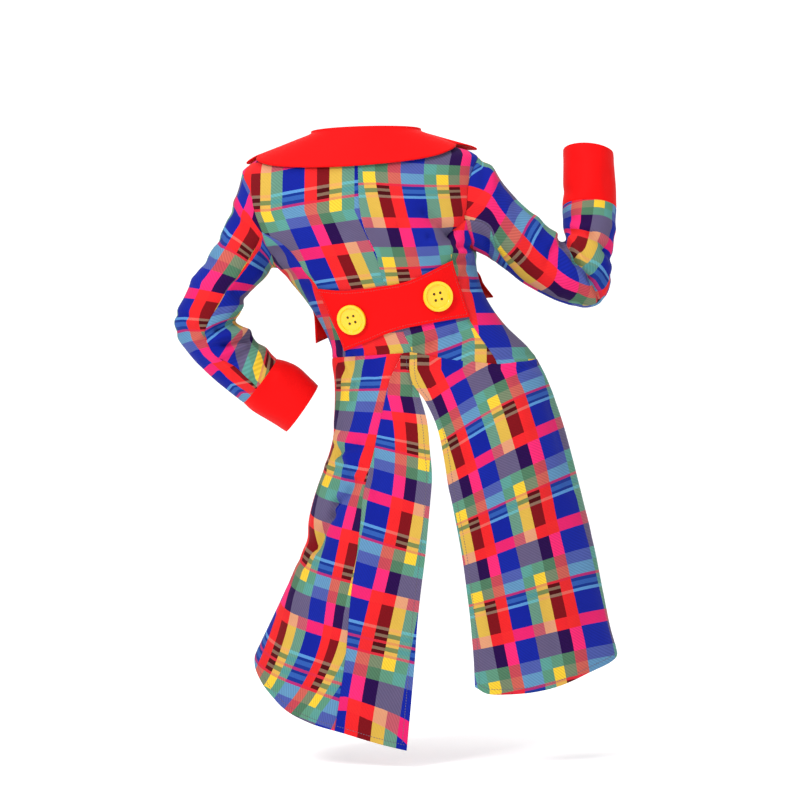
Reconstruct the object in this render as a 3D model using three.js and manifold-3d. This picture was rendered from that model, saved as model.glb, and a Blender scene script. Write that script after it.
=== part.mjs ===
// A clown's tailcoat, worn and seen from behind: plaid body, sleeves and tails, with a red collar,
// lapels, cuffs and half belt, and two yellow buttons. Millimetres, Z up, the back towards -Y.
// The origin is at the base of the neck, midway between the shoulders.
import * as THREE from "three";
import Module from "manifold-3d";

// Cloth, seams and layers
const CLOTH = 2.0; // thickness of a wall of cloth
const SEAM = 0.35; // half of a seam's gap
const SEAM_DOWN = 0.012; // half of a seam's gap, in rows down the body
const SEAM_ARM = 1.0; // gap between a sleeve and its armhole or its cuff
const LAYER = 1.9; // air between the back and the half belt
const LAPEL_LAYER = 0.8; // air between a front and its lapel
const STEP = 1e-3; // step of the numerical derivatives

// Half belt and buttons
const BELT_INSET = 0.3; // degrees between the belt's ends and the princess seams
const BUTTON_RADIUS = 24.5;
const BUTTON_RIM = 5.0; // height of a button at its rim
const BUTTON_DISH = 3.2; // height inside the rim
const BUTTON_RIM_WIDTH = 6.0;
const BUTTON_HOLE_RADIUS = 2.3;
const BUTTON_HOLE_AT = 5.2; // half the distance between neighbouring holes
const BUTTON_TURN = 14; // degrees that the square of holes is turned

// Collar
const STAND_HEIGHT = 27; // height of the fold above the neck edge
const FOLD_OUT = 5; // distance of the fold from the stand, outwards

// The body's rows from the neck to the hem: its left and right edge as seen from behind, the depth
// of its back and of its front from the middle plane, and the power of its rounded outline.
const BODY = [
  // name, leftX, leftZ, rightX, rightZ, back, front, power
  ["neck", -71, 3, 104, 8, 66, 66, 2.0],
  ["yoke1", -109, -2, 139, 7, 72, 68, 1.9],
  ["yoke2", -148, -10, 170, 3, 78, 72, 1.8],
  ["yoke3", -177, -26, 191, -4, 84, 78, 1.85],
  ["shoulder", -193, -45, 203, -16, 91, 86, 2.0],
  ["arm1", -195, -76, 205, -46, 101, 98, 2.2],
  ["arm2", -191, -116, 206, -91, 108, 108, 2.35],
  ["arm3", -172, -157, 208, -132, 110, 114, 2.4],
  ["chest", -135, -188, 206, -165, 108, 118, 2.4],
  ["under", -107, -219, 200, -185, 104, 120, 2.4],
  ["highWaist", -81, -251, 205, -221, 99, 117, 2.4],
  ["belt", -58, -287, 219, -252, 96, 112, 2.4],
  ["lowWaist", -43, -318, 246, -289, 95, 109, 2.35],
  ["waist", -38, -342, 292, -335, 98, 111, 2.3],
  ["hip1", -36, -388, 318, -384, 108, 115, 2.3],
  ["hip2", -38, -446, 340, -446, 116, 118, 2.3],
  ["hip3", -50, -512, 358, -512, 122, 120, 2.3],
  ["tail1", -71, -578, 375, -578, 126, 120, 2.3],
  ["tail2", -94, -660, 394, -652, 128, 120, 2.3],
  ["tail3", -120, -726, 409, -726, 129, 120, 2.3],
  ["tail4", -142, -777, 421, -784, 130, 120, 2.3],
  ["tail5", -167, -833, 434, -833, 130, 120, 2.3],
  ["tail6", -198, -908, 447, -908, 131, 120, 2.3],
  ["hem", -233, -998, 460, -998, 132, 120, 2.3],
];

// Lines on the body. down counts the rows of BODY; turn is in degrees: -90 is the left edge, 0 the
// middle of the back, 90 the right edge, and beyond 90 lies the front.
// Each row: down, turn
const LINES = {
  centreBack: [
    [0, 0],
    [6.4, 0],
    [7.9, -0.2],
    [9.7, -2],
    [10.8, -3],
    [12.1, -6.7],
    [13.2, -10],
  ],
  armholeLeft: [
    [3.4, -90],
    [3.9, -76],
    [4.9, -61.5],
    [5.55, -58],
    [6.15, -55.8],
    [6.6, -55.5],
    [7.3, -62],
    [7.8, -73],
    [8.2, -90],
  ],
  armholeRight: [
    [3.7, 90],
    [4.1, 78],
    [4.8, 67],
    [5.5, 61],
    [6.0, 59.4],
    [6.6, 57.7],
    [7.1, 59.5],
    [7.7, 70],
    [8.15, 90],
  ],
  princessLeft: [
    [6.6, -55.5],
    [7.0, -46],
    [7.45, -44.2],
    [8.1, -47],
    [8.7, -47.6],
    [9.5, -48],
    [10.9, -54.5],
    [12.8, -57.5],
    [13.2, -57],
  ],
  princessRight: [
    [6.6, 57.7],
    [7.1, 46],
    [7.6, 42.6],
    [8.9, 42.4],
    [10.2, 44],
    [11.6, 38],
    [12.7, 32],
    [13.4, 31.8],
  ],
  sideLeft: [
    [6.6, -124.5],
    [7.3, -122],
    [9.0, -112],
    [13.2, -108],
  ],
  sideRight: [
    [6.6, 122.3],
    [7.3, 118.8],
    [9.0, 112],
    [13.4, 106],
  ],
  frontEdgeLeft: [
    [0, -134],
    [2, -141],
    [4, -148],
    [7, -160],
    [9, -161],
    [11, -152],
    [13.1, -140],
  ],
  frontEdgeRight: [
    [0, 134],
    [2, 141],
    [4, 148],
    [7, 160],
    [9, 162],
    [11, 158],
    [13.1, 150],
  ],
  ventLeft: [
    [12.9, -10.2],
    [13.6, -11.7],
    [14.1, -11],
    [15, -8.3],
    [15.65, -7.4],
    [16.5, -5.9],
    [18, -6.4],
    [19.7, -6.2],
    [21, -5.2],
    [22.7, -3.9],
  ],
  ventRight: [
    [12.9, -10.2],
    [13.5, -13],
    [14, -12.7],
    [14.5, -8.1],
    [15.25, -3.9],
    [16.9, 0.3],
    [18.4, 4.4],
    [19.4, 6.5],
    [20.7, 8.2],
    [21.6, 9.3],
  ],
  goreLeft: [
    [12.9, -14.5],
    [14.05, -26.6],
    [15.8, -35.8],
    [17.5, -34.3],
    [18.65, -32.4],
    [20, -29],
    [21, -26.6],
    [22.4, -24.1],
  ],
  goreRight: [
    [12.9, 88],
    [17, 89],
    [22, 90],
  ],
  tailFrontLeft: [
    [12.9, -128],
    [14.5, -127],
    [16.5, -124],
    [18.5, -118],
    [20.4, -106],
  ],
  tailFrontRight: [
    [12.9, 132],
    [14.5, 131],
    [16.5, 127],
    [18.5, 119],
    [20.4, 106],
  ],
};

// Lower edges. Each row: turn, down
const HEMS = {
  waistLeft: [
    [-110, 13.05],
    [-61, 13.02],
    [-32, 12.98],
    [-9.5, 12.9],
  ],
  waistRight: [
    [-10, 12.9],
    [4, 13.18],
    [20, 13.32],
    [40, 13.38],
    [69, 13.24],
    [110, 13.1],
  ],
  frontLeft: [
    [-150, 12.3],
    [-108, 13.05],
  ],
  frontRight: [
    [106, 13.1],
    [160, 12.3],
  ],
  tailLeft: [
    [-118, 19.6],
    [-108, 20.3],
    [-96, 20.8],
    [-81, 21.1],
    [-68.8, 21.4],
    [-54.5, 21.76],
    [-43.7, 22.07],
    [-33, 22.26],
    [-20.8, 22.41],
    [-7.7, 22.61],
    [-3.9, 22.67],
  ],
  tailRight: [
    [9.3, 21.56],
    [12.7, 21.7],
    [18.6, 21.72],
    [27.7, 21.68],
    [38.4, 21.55],
    [51.3, 21.32],
    [69.3, 21.11],
    [82, 20.95],
    [90, 20.75],
    [100, 20.3],
    [108, 19.9],
  ],
};

// Large folds of the body: a soft trough (depth above 0) or ridge (below 0) along a straight line.
const FOLDS = [
  // fromX, fromZ, toX, toZ, depth, width
  [112, -108, 158, -145, 5, 14],
  [158, -145, 208, -166, 7, 16],
  [70, -135, 170, -160, -4, 14],
  [-35, -350, -8, -400, -4, 12],
  [-50, -470, -25, -560, 7, 16],
  [-25, -560, -75, -640, 7, 18],
  [-75, -640, -95, -700, 5, 18],
  [-20, -480, 20, -575, -5, 18],
  [100, -345, 165, -312, -4, 10],
  [250, -370, 330, -560, -4, 30],
  [200, -400, 260, -640, 5, 34],
  [330, -560, 400, -840, 5, 30],
  [30, -600, 20, -920, -5, 26],
  [-60, -650, -80, -900, 6, 26],
];

// Rings of the sleeves, from the shoulder to the cuff: the two edges seen from behind, half the
// depth, the middle's distance from the middle plane, and how far the back leads along the arm.
const SLEEVE_LEFT = [
  // outerX, outerZ, innerX, innerZ, depth, middleY, lead
  [-198, -78, -139, -195, 61, 1, 0],
  [-208, -104, -145, -205, 58, -1, 0],
  [-223, -139, -155, -216, 55, -5, 0],
  [-246, -180, -167, -228, 52, -10, 0],
  [-266, -210, -177, -239, 50, -14, 0],
  [-282, -243, -186, -257, 49, -18, 0],
  [-297, -274, -191, -274, 48, -21, 0],
  [-294, -307, -191, -284, 47, -22, 1],
  [-279, -330, -188, -290, 46, -21, 2],
  [-257, -356, -180, -297, 45, -19, 3],
  [-231, -380, -167, -310, 44, -16, 4],
  [-208, -399, -152, -325, 43, -13, 4],
  [-185, -417, -130, -345, 42, -10, 5],
];
const SLEEVE_RIGHT = [
  // outerX, outerZ, innerX, innerZ, depth, middleY, lead
  [221, -26, 214, -175, 60, 1, 0],
  [246, -59, 224, -182, 57, 3, 0],
  [274, -89, 234, -188, 55, 5, 0],
  [297, -109, 251, -200, 53, 7, 0],
  [318, -127, 274, -218, 51, 9, 0],
  [332, -135, 304, -235, 50, 10, 0],
  [338, -142, 337, -250, 49, 10, 0],
  [342, -144, 375, -260, 48, 12, 1],
  [345, -142, 406, -251, 47, 15, 3],
  [346, -137, 421, -221, 46, 20, 6],
  [345, -129, 424, -185, 44, 27, 9],
  [343, -112, 428, -145, 43, 34, 11],
  [343, -91, 433, -94, 42, 41, 12],
];
const CUFF_LEFT = [
  // outerX, outerZ, innerX, innerZ, depth, middleY, lead
  [-167, -431, -111, -350, 43, -8, 5],
  [-145, -445, -91, -361, 44, -6, 5],
  [-115, -464, -63, -389, 45, -3, 5],
];
const CUFF_RIGHT = [
  // outerX, outerZ, innerX, innerZ, depth, middleY, lead
  [344, -60, 433, -62, 42.5, 48, 12],
  [345, -30, 431, -32, 42.5, 54, 12],
  [346, 6, 429, -3, 43, 62, 12],
];

// Where the seam at the back of a sleeve runs. Each row: ring, round (0 outer, 90 back, 180 inner)
const SLEEVE_SEAM = {
  left: [
    [0, 109.5],
    [2, 109],
    [4.4, 111],
    [6, 109],
    [7, 103],
    [8.5, 82],
    [9.6, 70],
    [11.4, 80],
    [13, 76],
  ],
  right: [
    [0, 105],
    [0.6, 118],
    [1.5, 131],
    [2.9, 141],
    [4, 152],
    [5.2, 163],
    [7.4, 164],
    [13, 168],
  ],
};
const SLEEVE_SEAM_FRONT = 250; // where its seam at the front runs, in degrees round
const SETTLE = 3; // rings from the armhole over which the points even out

// The collar's fall. Each row: turn, rows of BODY down to its edge, lift of the edge
const COLLAR_FALL = [
  [-132, 2.2, 3],
  [-118, 2.7, 4],
  [-100, 3.1, 6],
  [-88, 2.2, 3],
  [-70, 2.8, 2],
  [-40, 3.8, 2],
  [0, 4.2, 2],
  [40, 3.8, 2],
  [66, 2.4, 2],
  [84, 1.7, 2],
  [92, 2.6, 6],
  [99, 3.35, 9],
  [112, 2.9, 6],
  [132, 2.2, 3],
];

// The lapels, in front. Each row: rows of BODY down, turn of the outer edge, lift of that edge
const LAPEL_LEFT = [
  [3.0, -127, 3],
  [4.0, -117, 5],
  [5.5, -124, 5],
  [8, -130, 6],
  [10, -120, 12],
  [11.7, -97, 21],
];
const LAPEL_RIGHT = [
  [3.0, 127, 3],
  [4.0, 117, 5],
  [5.5, 124, 5],
  [8, 130, 6],
  [9.5, 114, 10],
  [10.9, 94, 10],
];

// The half belt's edges in the princess seams. Each row: share from left to right, down
const BELT_TOP = [
  [0, 9.5],
  [0.24, 9.75],
  [0.45, 9.77],
  [0.6, 9.67],
  [0.8, 9.3],
  [1, 8.87],
];
const BELT_BOTTOM = [
  [0, 12.71],
  [0.24, 12.28],
  [0.45, 11.89],
  [0.6, 11.72],
  [0.8, 11.62],
  [1, 11.58],
];

// Middles of the buttons on the belt, and the air below them there.
const BUTTONS = [
  // name, turn, down, air
  ["button_left", -33.6, 11.03, 0.6],
  ["button_right", 21.8, 10.51, 1.0],
];

const COLOURS = {
  plaid_body: 0x1c3fa8,
  plaid_tail: 0x3f6fb5,
  plaid_sleeve: 0x2b55b0,
  red_cloth: 0xf01414,
  yellow_plastic: 0xf7d514,
};
const materials = {};
for (const [name, color] of Object.entries(COLOURS)) {
  materials[name] = new THREE.MeshStandardMaterial({ name, color, roughness: 0.8 });
}

const clamp = (x, low, high) => Math.max(low, Math.min(high, x));
const mix = (a, b, t) => a + (b - a) * t;
const radians = THREE.MathUtils.degToRad;

// A smooth curve through a table's rows; the first column is the place along it.
function curve(table, column = 1) {
  const x = table.map((r) => r[0]);
  const y = table.map((r) => r[column]);
  const last = x.length - 1;
  const slope = x.map((_, i) => {
    const a = Math.max(0, i - 1);
    const b = Math.min(last, i + 1);
    return (y[b] - y[a]) / (x[b] - x[a]);
  });
  return (at) => {
    const place = clamp(at, x[0], x[last]);
    let i = 0;
    while (i < last - 1 && place > x[i + 1]) i += 1;
    const h = x[i + 1] - x[i];
    const t = (place - x[i]) / h;
    const s = 1 - t;
    return (
      y[i] * (1 + 2 * t) * s * s +
      y[i + 1] * t * t * (3 - 2 * t) +
      h * (slope[i] * t * s * s - slope[i + 1] * t * t * s)
    );
  };
}

const lines = {};
for (const [name, table] of Object.entries(LINES)) lines[name] = curve(table);
const hems = {};
for (const [name, table] of Object.entries(HEMS)) hems[name] = curve(table);

// A row of numbers between the rows of a table.
function rowAt(table, place, first) {
  const at = clamp(place, 0, table.length - 1 - 1e-9);
  const i = Math.floor(at);
  const f = at - i;
  const pick = (k) => table[clamp(i + k, 0, table.length - 1)];
  const [p, q, r, s] = [pick(-1), pick(0), pick(1), pick(2)];
  return q.slice(first).map((_, n) => {
    const c = n + first;
    const linear = (r[c] - p[c]) * f;
    const square = (2 * p[c] - 5 * q[c] + 4 * r[c] - s[c]) * f * f;
    const cube = (3 * q[c] - p[c] - 3 * r[c] + s[c]) * f * f * f;
    return 0.5 * (2 * q[c] + linear + square + cube);
  });
}

const power = (x, n) => Math.sign(x) * Math.abs(x) ** (2 / n);

// The bare surface of the body.
function bare(turn, down) {
  const [leftX, leftZ, rightX, rightZ, back, front, n] = rowAt(BODY, down, 1);
  const across = (power(Math.sin(radians(turn)), n) + 1) / 2;
  const deep = power(Math.cos(radians(turn)), n);
  return new THREE.Vector3(
    mix(leftX, rightX, across),
    -deep * (deep > 0 ? back : front),
    mix(leftZ, rightZ, across),
  );
}

function distanceToSegment(x, z, x1, z1, x2, z2) {
  const [dx, dz] = [x2 - x1, z2 - z1];
  const t = clamp(((x - x1) * dx + (z - z1) * dz) / (dx * dx + dz * dz), 0, 1);
  return Math.hypot(x - x1 - t * dx, z - z1 - t * dz);
}

// How far the folds push the surface outwards at a point; the front stays plain.
function relief(p, turn) {
  const facing = clamp((110 - Math.abs(turn)) / 30, 0, 1);
  let push = 0;
  for (const [x1, z1, x2, z2, depth, width] of FOLDS) {
    const away = distanceToSegment(p.x, p.z, x1, z1, x2, z2);
    push -= depth * Math.exp(-((away / width) ** 2));
  }
  return push * facing;
}

// The outward direction of a surface of two numbers.
function normalOf(surface, a, b, stepA, stepB) {
  const alongA = surface(a + stepA, b).sub(surface(a - stepA, b));
  const alongB = surface(a, b + stepB).sub(surface(a, b - stepB));
  return alongA.cross(alongB).normalize();
}

// The body's cloth, moved outwards by out.
function body(turn, down, out = 0) {
  const p = bare(turn, down);
  const safe = clamp(down, STEP, BODY.length - 1 - STEP);
  const n = normalOf(bare, turn, safe, 0.05, STEP).negate();
  return p.addScaledVector(n, out + relief(p, turn));
}

// The volume inside triangles, negative if they face inwards.
function volume(points, indices) {
  const corner = (k) => new THREE.Vector3().fromArray(points, 3 * indices[k]);
  let sum = 0;
  for (let k = 0; k < indices.length; k += 3) {
    sum += corner(k).dot(corner(k + 1).cross(corner(k + 2))) / 6;
  }
  return sum;
}

// The angle that lies a distance further along a line of points at(angle).
function shifted(at, angle, distance) {
  const here = at(angle);
  let [low, high] = [0, 4];
  for (let k = 0; k < 24; k += 1) {
    const step = (low + high) / 2;
    if (at(angle + Math.sign(distance) * step).distanceTo(here) < Math.abs(distance)) low = step;
    else high = step;
  }
  return angle + Math.sign(distance) * high;
}

// A closed wall over a grid: outer(i, j) and inner(i, j) give its points, and round joins its sides.
function wall(across, down, outer, inner, round = false) {
  const points = [];
  const indices = [];
  const wide = round ? across : across + 1;
  const size = wide * (down + 1);
  for (const face of [outer, inner]) {
    for (let j = 0; j <= down; j += 1) {
      for (let i = 0; i < wide; i += 1) points.push(...face(i / across, j / down).toArray());
    }
  }
  const at = (i, j, layer) => layer * size + j * wide + (i % wide);
  const quad = (a, b, c, d) => indices.push(a, b, c, a, c, d);
  for (let j = 0; j < down; j += 1) {
    for (let i = 0; i < across; i += 1) {
      quad(at(i, j, 0), at(i, j + 1, 0), at(i + 1, j + 1, 0), at(i + 1, j, 0));
      quad(at(i, j, 1), at(i + 1, j, 1), at(i + 1, j + 1, 1), at(i, j + 1, 1));
    }
  }
  for (let i = 0; i < across; i += 1) {
    quad(at(i, 0, 0), at(i + 1, 0, 0), at(i + 1, 0, 1), at(i, 0, 1));
    quad(at(i, down, 0), at(i, down, 1), at(i + 1, down, 1), at(i + 1, down, 0));
  }
  if (!round) {
    for (let j = 0; j < down; j += 1) {
      quad(at(0, j, 0), at(0, j, 1), at(0, j + 1, 1), at(0, j + 1, 0));
      quad(at(across, j, 0), at(across, j + 1, 0), at(across, j + 1, 1), at(across, j, 1));
    }
  }
  if (volume(points, indices) < 0) {
    for (let k = 0; k < indices.length; k += 3) {
      [indices[k], indices[k + 1]] = [indices[k + 1], indices[k]];
    }
  }
  const geometry = new THREE.BufferGeometry();
  geometry.setAttribute("position", new THREE.Float32BufferAttribute(points, 3));
  geometry.setIndex(indices);
  return geometry;
}

const coat = new THREE.Group();
coat.name = "clown_tailcoat";
function add(name, material, geometry) {
  geometry.computeVertexNormals();
  const mesh = new THREE.Mesh(geometry, materials[material]);
  mesh.name = name;
  coat.add(mesh);
}

// A panel of the body between two lines, from its top edge to its lower edge. top and bottom take
// the share from left to right and give the row; stops are the rows between, which bend to them,
// the lower ones only if bend is large.
function panel({ left, right, top, bottom, across, stops, bend = 6, lift = () => 0 }) {
  const down = stops.length - 1;
  const [first, last] = [stops[0], stops[down]];
  const place = (u, v) => {
    const stop = stops[Math.round(v * down)];
    const share = (stop - first) / (last - first);
    const row = stop + (top(u) - first) * (1 - share) ** 2 + (bottom(u) - last) * share ** bend;
    const ring = (turn) => bare(turn, row);
    return [mix(shifted(ring, left(row), SEAM), shifted(ring, right(row), -SEAM), u), row];
  };
  const face = (inset) => (u, v) => {
    const [turn, row] = place(u, v);
    return body(turn, row, lift(turn, row) - inset);
  };
  return wall(across, down, face(0), face(CLOTH));
}

// The row where a panel's own line at a share meets an edge that is given by turn.
function edgeAlong(left, right, edge, side) {
  return (u) => {
    let row = edge(mix(left(13), right(13), u));
    for (let k = 0; k < 30; k += 1) row = mix(row, edge(mix(left(row), right(row), u)), 0.7);
    return row + side * SEAM_DOWN;
  };
}

// The lower part of an armhole, for the top of a side panel: the row for a share.
function underArm(left, right, hole, first, lowest, middle) {
  return (u) => {
    const wanted = (row) => Math.abs(mix(left(row), right(row), u) - middle);
    let [low, high] = [first, lowest];
    for (let k = 0; k < 40; k += 1) {
      const row = (low + high) / 2;
      if (Math.abs(hole(row) - middle) > wanted(row)) low = row;
      else high = row;
    }
    return (low + high) / 2 + SEAM_DOWN;
  };
}

const SHOULDER_LEFT = LINES.armholeLeft[0][0];
const SHOULDER_RIGHT = LINES.armholeRight[0][0];
const PRINCESS_LEFT = LINES.princessLeft[0][0];
const PRINCESS_RIGHT = LINES.princessRight[0][0];
const ARMPIT_LEFT = LINES.armholeLeft[LINES.armholeLeft.length - 1][0];
const ARMPIT_RIGHT = LINES.armholeRight[LINES.armholeRight.length - 1][0];

// The outer line of a back or a front: shoulder seam, armhole, then the seam below it.
function outerLine(shoulder, seamStart, edge, hole, seam) {
  return (row) => {
    if (row < shoulder) return edge;
    return row < seamStart ? hole(row) : seam(row);
  };
}

const mirrored = (line, middle) => (row) => 2 * middle - line(row);
const backLeftOuter = outerLine(
  SHOULDER_LEFT, PRINCESS_LEFT, -90, lines.armholeLeft, lines.princessLeft,
);
const backRightOuter = outerLine(
  SHOULDER_RIGHT, PRINCESS_RIGHT, 90, lines.armholeRight, lines.princessRight,
);
const frontLeftOuter = outerLine(
  SHOULDER_LEFT, PRINCESS_LEFT, -90, mirrored(lines.armholeLeft, -90), lines.sideLeft,
);
const frontRightOuter = outerLine(
  SHOULDER_RIGHT, PRINCESS_RIGHT, 90, mirrored(lines.armholeRight, 90), lines.sideRight,
);
const neckEdge = () => 0;

const YOKE_LEFT = [0, 1.1, 2.2, 3.4, 3.9, 4.6, 5.3, 6];
const YOKE_RIGHT = [0, 1.2, 2.4, 3.7, 4.1, 4.7, 5.4, 6];
const SIDE_LEFT = [6.6, 7.1, 7.8, 8.6, 9.5, 10.4, 11.3, 12.2, 13];
const SIDE_RIGHT = [6.6, 7.1, 7.8, 8.6, 9.5, 10.4, 11.3, 12.2, 13.2];
const LEFT_STOPS = [...YOKE_LEFT, ...SIDE_LEFT];
const RIGHT_STOPS = [...YOKE_RIGHT, ...SIDE_RIGHT];

const SIDE_ACROSS_LEFT = 8;
const SIDE_ACROSS_RIGHT = 10;
const topOfSideLeft = underArm(
  lines.sideLeft, lines.princessLeft, lines.armholeLeft, PRINCESS_LEFT, ARMPIT_LEFT, -90,
);
const topOfSideRight = underArm(
  lines.princessRight, lines.sideRight, lines.armholeRight, PRINCESS_RIGHT, ARMPIT_RIGHT, 90,
);

add("back_left", "plaid_body", panel({
  left: backLeftOuter,
  right: lines.centreBack,
  top: neckEdge,
  bottom: edgeAlong(backLeftOuter, lines.centreBack, hems.waistLeft, -1),
  across: 10,
  stops: LEFT_STOPS,
}));
add("back_right", "plaid_body", panel({
  left: lines.centreBack,
  right: backRightOuter,
  top: neckEdge,
  bottom: edgeAlong(lines.centreBack, backRightOuter, hems.waistRight, -1),
  across: 10,
  stops: RIGHT_STOPS,
}));
add("side_left", "plaid_body", panel({
  left: lines.sideLeft,
  right: lines.princessLeft,
  top: topOfSideLeft,
  bottom: edgeAlong(lines.sideLeft, lines.princessLeft, hems.waistLeft, -1),
  across: SIDE_ACROSS_LEFT,
  stops: SIDE_LEFT,
}));
add("side_right", "plaid_body", panel({
  left: lines.princessRight,
  right: lines.sideRight,
  top: topOfSideRight,
  bottom: edgeAlong(lines.princessRight, lines.sideRight, hems.waistRight, -1),
  across: SIDE_ACROSS_RIGHT,
  stops: SIDE_RIGHT,
}));
add("front_left", "plaid_body", panel({
  left: lines.frontEdgeLeft,
  right: frontLeftOuter,
  top: neckEdge,
  bottom: edgeAlong(lines.frontEdgeLeft, frontLeftOuter, hems.frontLeft, -1),
  across: 6,
  stops: LEFT_STOPS,
}));
add("front_right", "plaid_body", panel({
  left: frontRightOuter,
  right: lines.frontEdgeRight,
  top: neckEdge,
  bottom: edgeAlong(frontRightOuter, lines.frontEdgeRight, hems.frontRight, -1),
  across: 6,
  stops: RIGHT_STOPS,
}));

// The tails hang from the waist seam. The right one laps over the left at the top of the vent.
const TAIL_STOPS = [13, 13.6, 14.2, 15, 15.8, 16.6, 17.4, 18.2, 19, 19.8, 20.6, 21.4, 22.2];
const LAP_LIFT = 4.4;
const LAP_WIDTH = 9; // degrees
const LAP_END = 15.2; // row where the lap has faded out
function lapLift(turn, row) {
  const near = Math.exp(-(((turn - lines.ventRight(row)) / LAP_WIDTH) ** 2));
  return LAP_LIFT * near * clamp(LAP_END - row, 0, 1);
}
add("tail_left_back", "plaid_tail", panel({
  left: lines.goreLeft,
  right: lines.ventLeft,
  top: edgeAlong(lines.goreLeft, lines.ventLeft, hems.waistLeft, 1),
  bottom: edgeAlong(lines.goreLeft, lines.ventLeft, hems.tailLeft, 0),
  across: 5,
  stops: TAIL_STOPS,
  bend: 2,
}));
add("tail_left_side", "plaid_tail", panel({
  left: lines.tailFrontLeft,
  right: lines.goreLeft,
  top: edgeAlong(lines.tailFrontLeft, lines.goreLeft, hems.waistLeft, 1),
  bottom: edgeAlong(lines.tailFrontLeft, lines.goreLeft, hems.tailLeft, 0),
  across: 12,
  stops: TAIL_STOPS,
  bend: 2,
}));
add("tail_right", "plaid_tail", panel({
  left: lines.ventRight,
  right: lines.goreRight,
  top: edgeAlong(lines.ventRight, lines.goreRight, hems.waistRight, 1),
  bottom: edgeAlong(lines.ventRight, lines.goreRight, hems.tailRight, 0),
  across: 11,
  stops: TAIL_STOPS,
  bend: 2,
  lift: lapLift,
}));
add("tail_right_side", "plaid_tail", panel({
  left: lines.goreRight,
  right: lines.tailFrontRight,
  top: edgeAlong(lines.goreRight, lines.tailFrontRight, hems.waistRight, 1),
  bottom: edgeAlong(lines.goreRight, lines.tailFrontRight, hems.tailRight, 0),
  across: 4,
  stops: TAIL_STOPS,
  bend: 2,
}));

// A sleeve or cuff: rings of points, and the directions along it.
function alongArm(ring, next) {
  const [outerX, outerZ, innerX, innerZ] = ring;
  const direction = new THREE.Vector3(innerZ - outerZ, 0, outerX - innerX).normalize();
  const step = new THREE.Vector3(
    next[0] + next[2] - outerX - innerX, 0, next[1] + next[3] - outerZ - innerZ,
  );
  return direction.dot(step) < 0 ? direction.negate() : direction;
}

function ringPoint(ring, direction, round) {
  const [outerX, outerZ, innerX, innerZ, depth, middleY, lead] = ring;
  const [c, s] = [Math.cos(radians(round)), Math.sin(radians(round))];
  const p = new THREE.Vector3(
    mix(outerX, innerX, (1 - c) / 2), middleY - depth * s, mix(outerZ, innerZ, (1 - c) / 2),
  );
  return p.addScaledVector(direction, lead * s);
}

// A point of the armhole's edge, seen round the sleeve.
function holePoint(hole, first, last, middle, round, out) {
  const row = mix(first, last, (1 - Math.cos(radians(round))) / 2);
  const turn = Math.sin(radians(round)) > 0 ? hole(row) : 2 * middle - hole(row);
  return body(turn, row, out);
}

// A tube through rings; start(round, out) gives its first ring.
function tube(rings, start) {
  const directions = rings.map((ring, k) => {
    const k0 = Math.min(k, rings.length - 2);
    const forward = alongArm(rings[k0], rings[k0 + 1]);
    return k === k0 ? forward : alongArm(ring, ring.map((x, c) => 2 * x - rings[k0][c]));
  });
  const point = (round, k) => {
    if (k === 0) return start(round, 0);
    return ringPoint(rings[k - 1], directions[k - 1], round);
  };
  const surface = (round, at) => {
    const place = clamp(at, 0, rings.length - 1e-9);
    const i = Math.floor(place);
    const four = [-1, 0, 1, 2].map((k) => point(round, clamp(i + k, 0, rings.length)).toArray());
    return new THREE.Vector3(...rowAt(four, 1 + place - i, 0));
  };
  const middle = (at) => surface(0, at).add(surface(180, at)).multiplyScalar(0.5);
  return (round, at, out) => {
    const p = surface(round, at);
    if (out === 0) return p;
    if (at === 0) return start(round, out);
    const n = normalOf(surface, round, clamp(at, STEP, rings.length - STEP), 0.5, STEP);
    const outwards = p.clone().sub(middle(at));
    return p.addScaledVector(n, n.dot(outwards) < 0 ? -out : out);
  };
}

const ARM_ROWS = SLEEVE_LEFT.length;
const smooth = (t) => t * t * (3 - 2 * t);

// Where the points of the panels' edges lie round an armhole: the back and front, then below.
function holeRounds({ ends, yoke, under, below, middle }) {
  const [first, last] = ends;
  const round = (row) => THREE.MathUtils.radToDeg(Math.acos(1 - (2 * (row - first)) / (last - first)));
  const back = [...yoke.filter((row) => row >= first), under].map(round);
  const top = [...back.slice(1).reverse().map((angle) => -angle), ...back];
  const low = below.map(([row, turn]) => {
    const angle = round(row);
    return Math.abs(turn) < Math.abs(middle) ? angle : 360 - angle;
  });
  return { top, low };
}

// Points of a side panel's upper edge, from the back to the front.
function sideEdge(left, right, top, across, backIsRight) {
  return Array.from({ length: across + 1 }, (_, i) => {
    const u = backIsRight ? 1 - i / across : i / across;
    const row = top(u) - SEAM_DOWN;
    return [row, mix(left(row), right(row), u)];
  });
}

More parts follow.
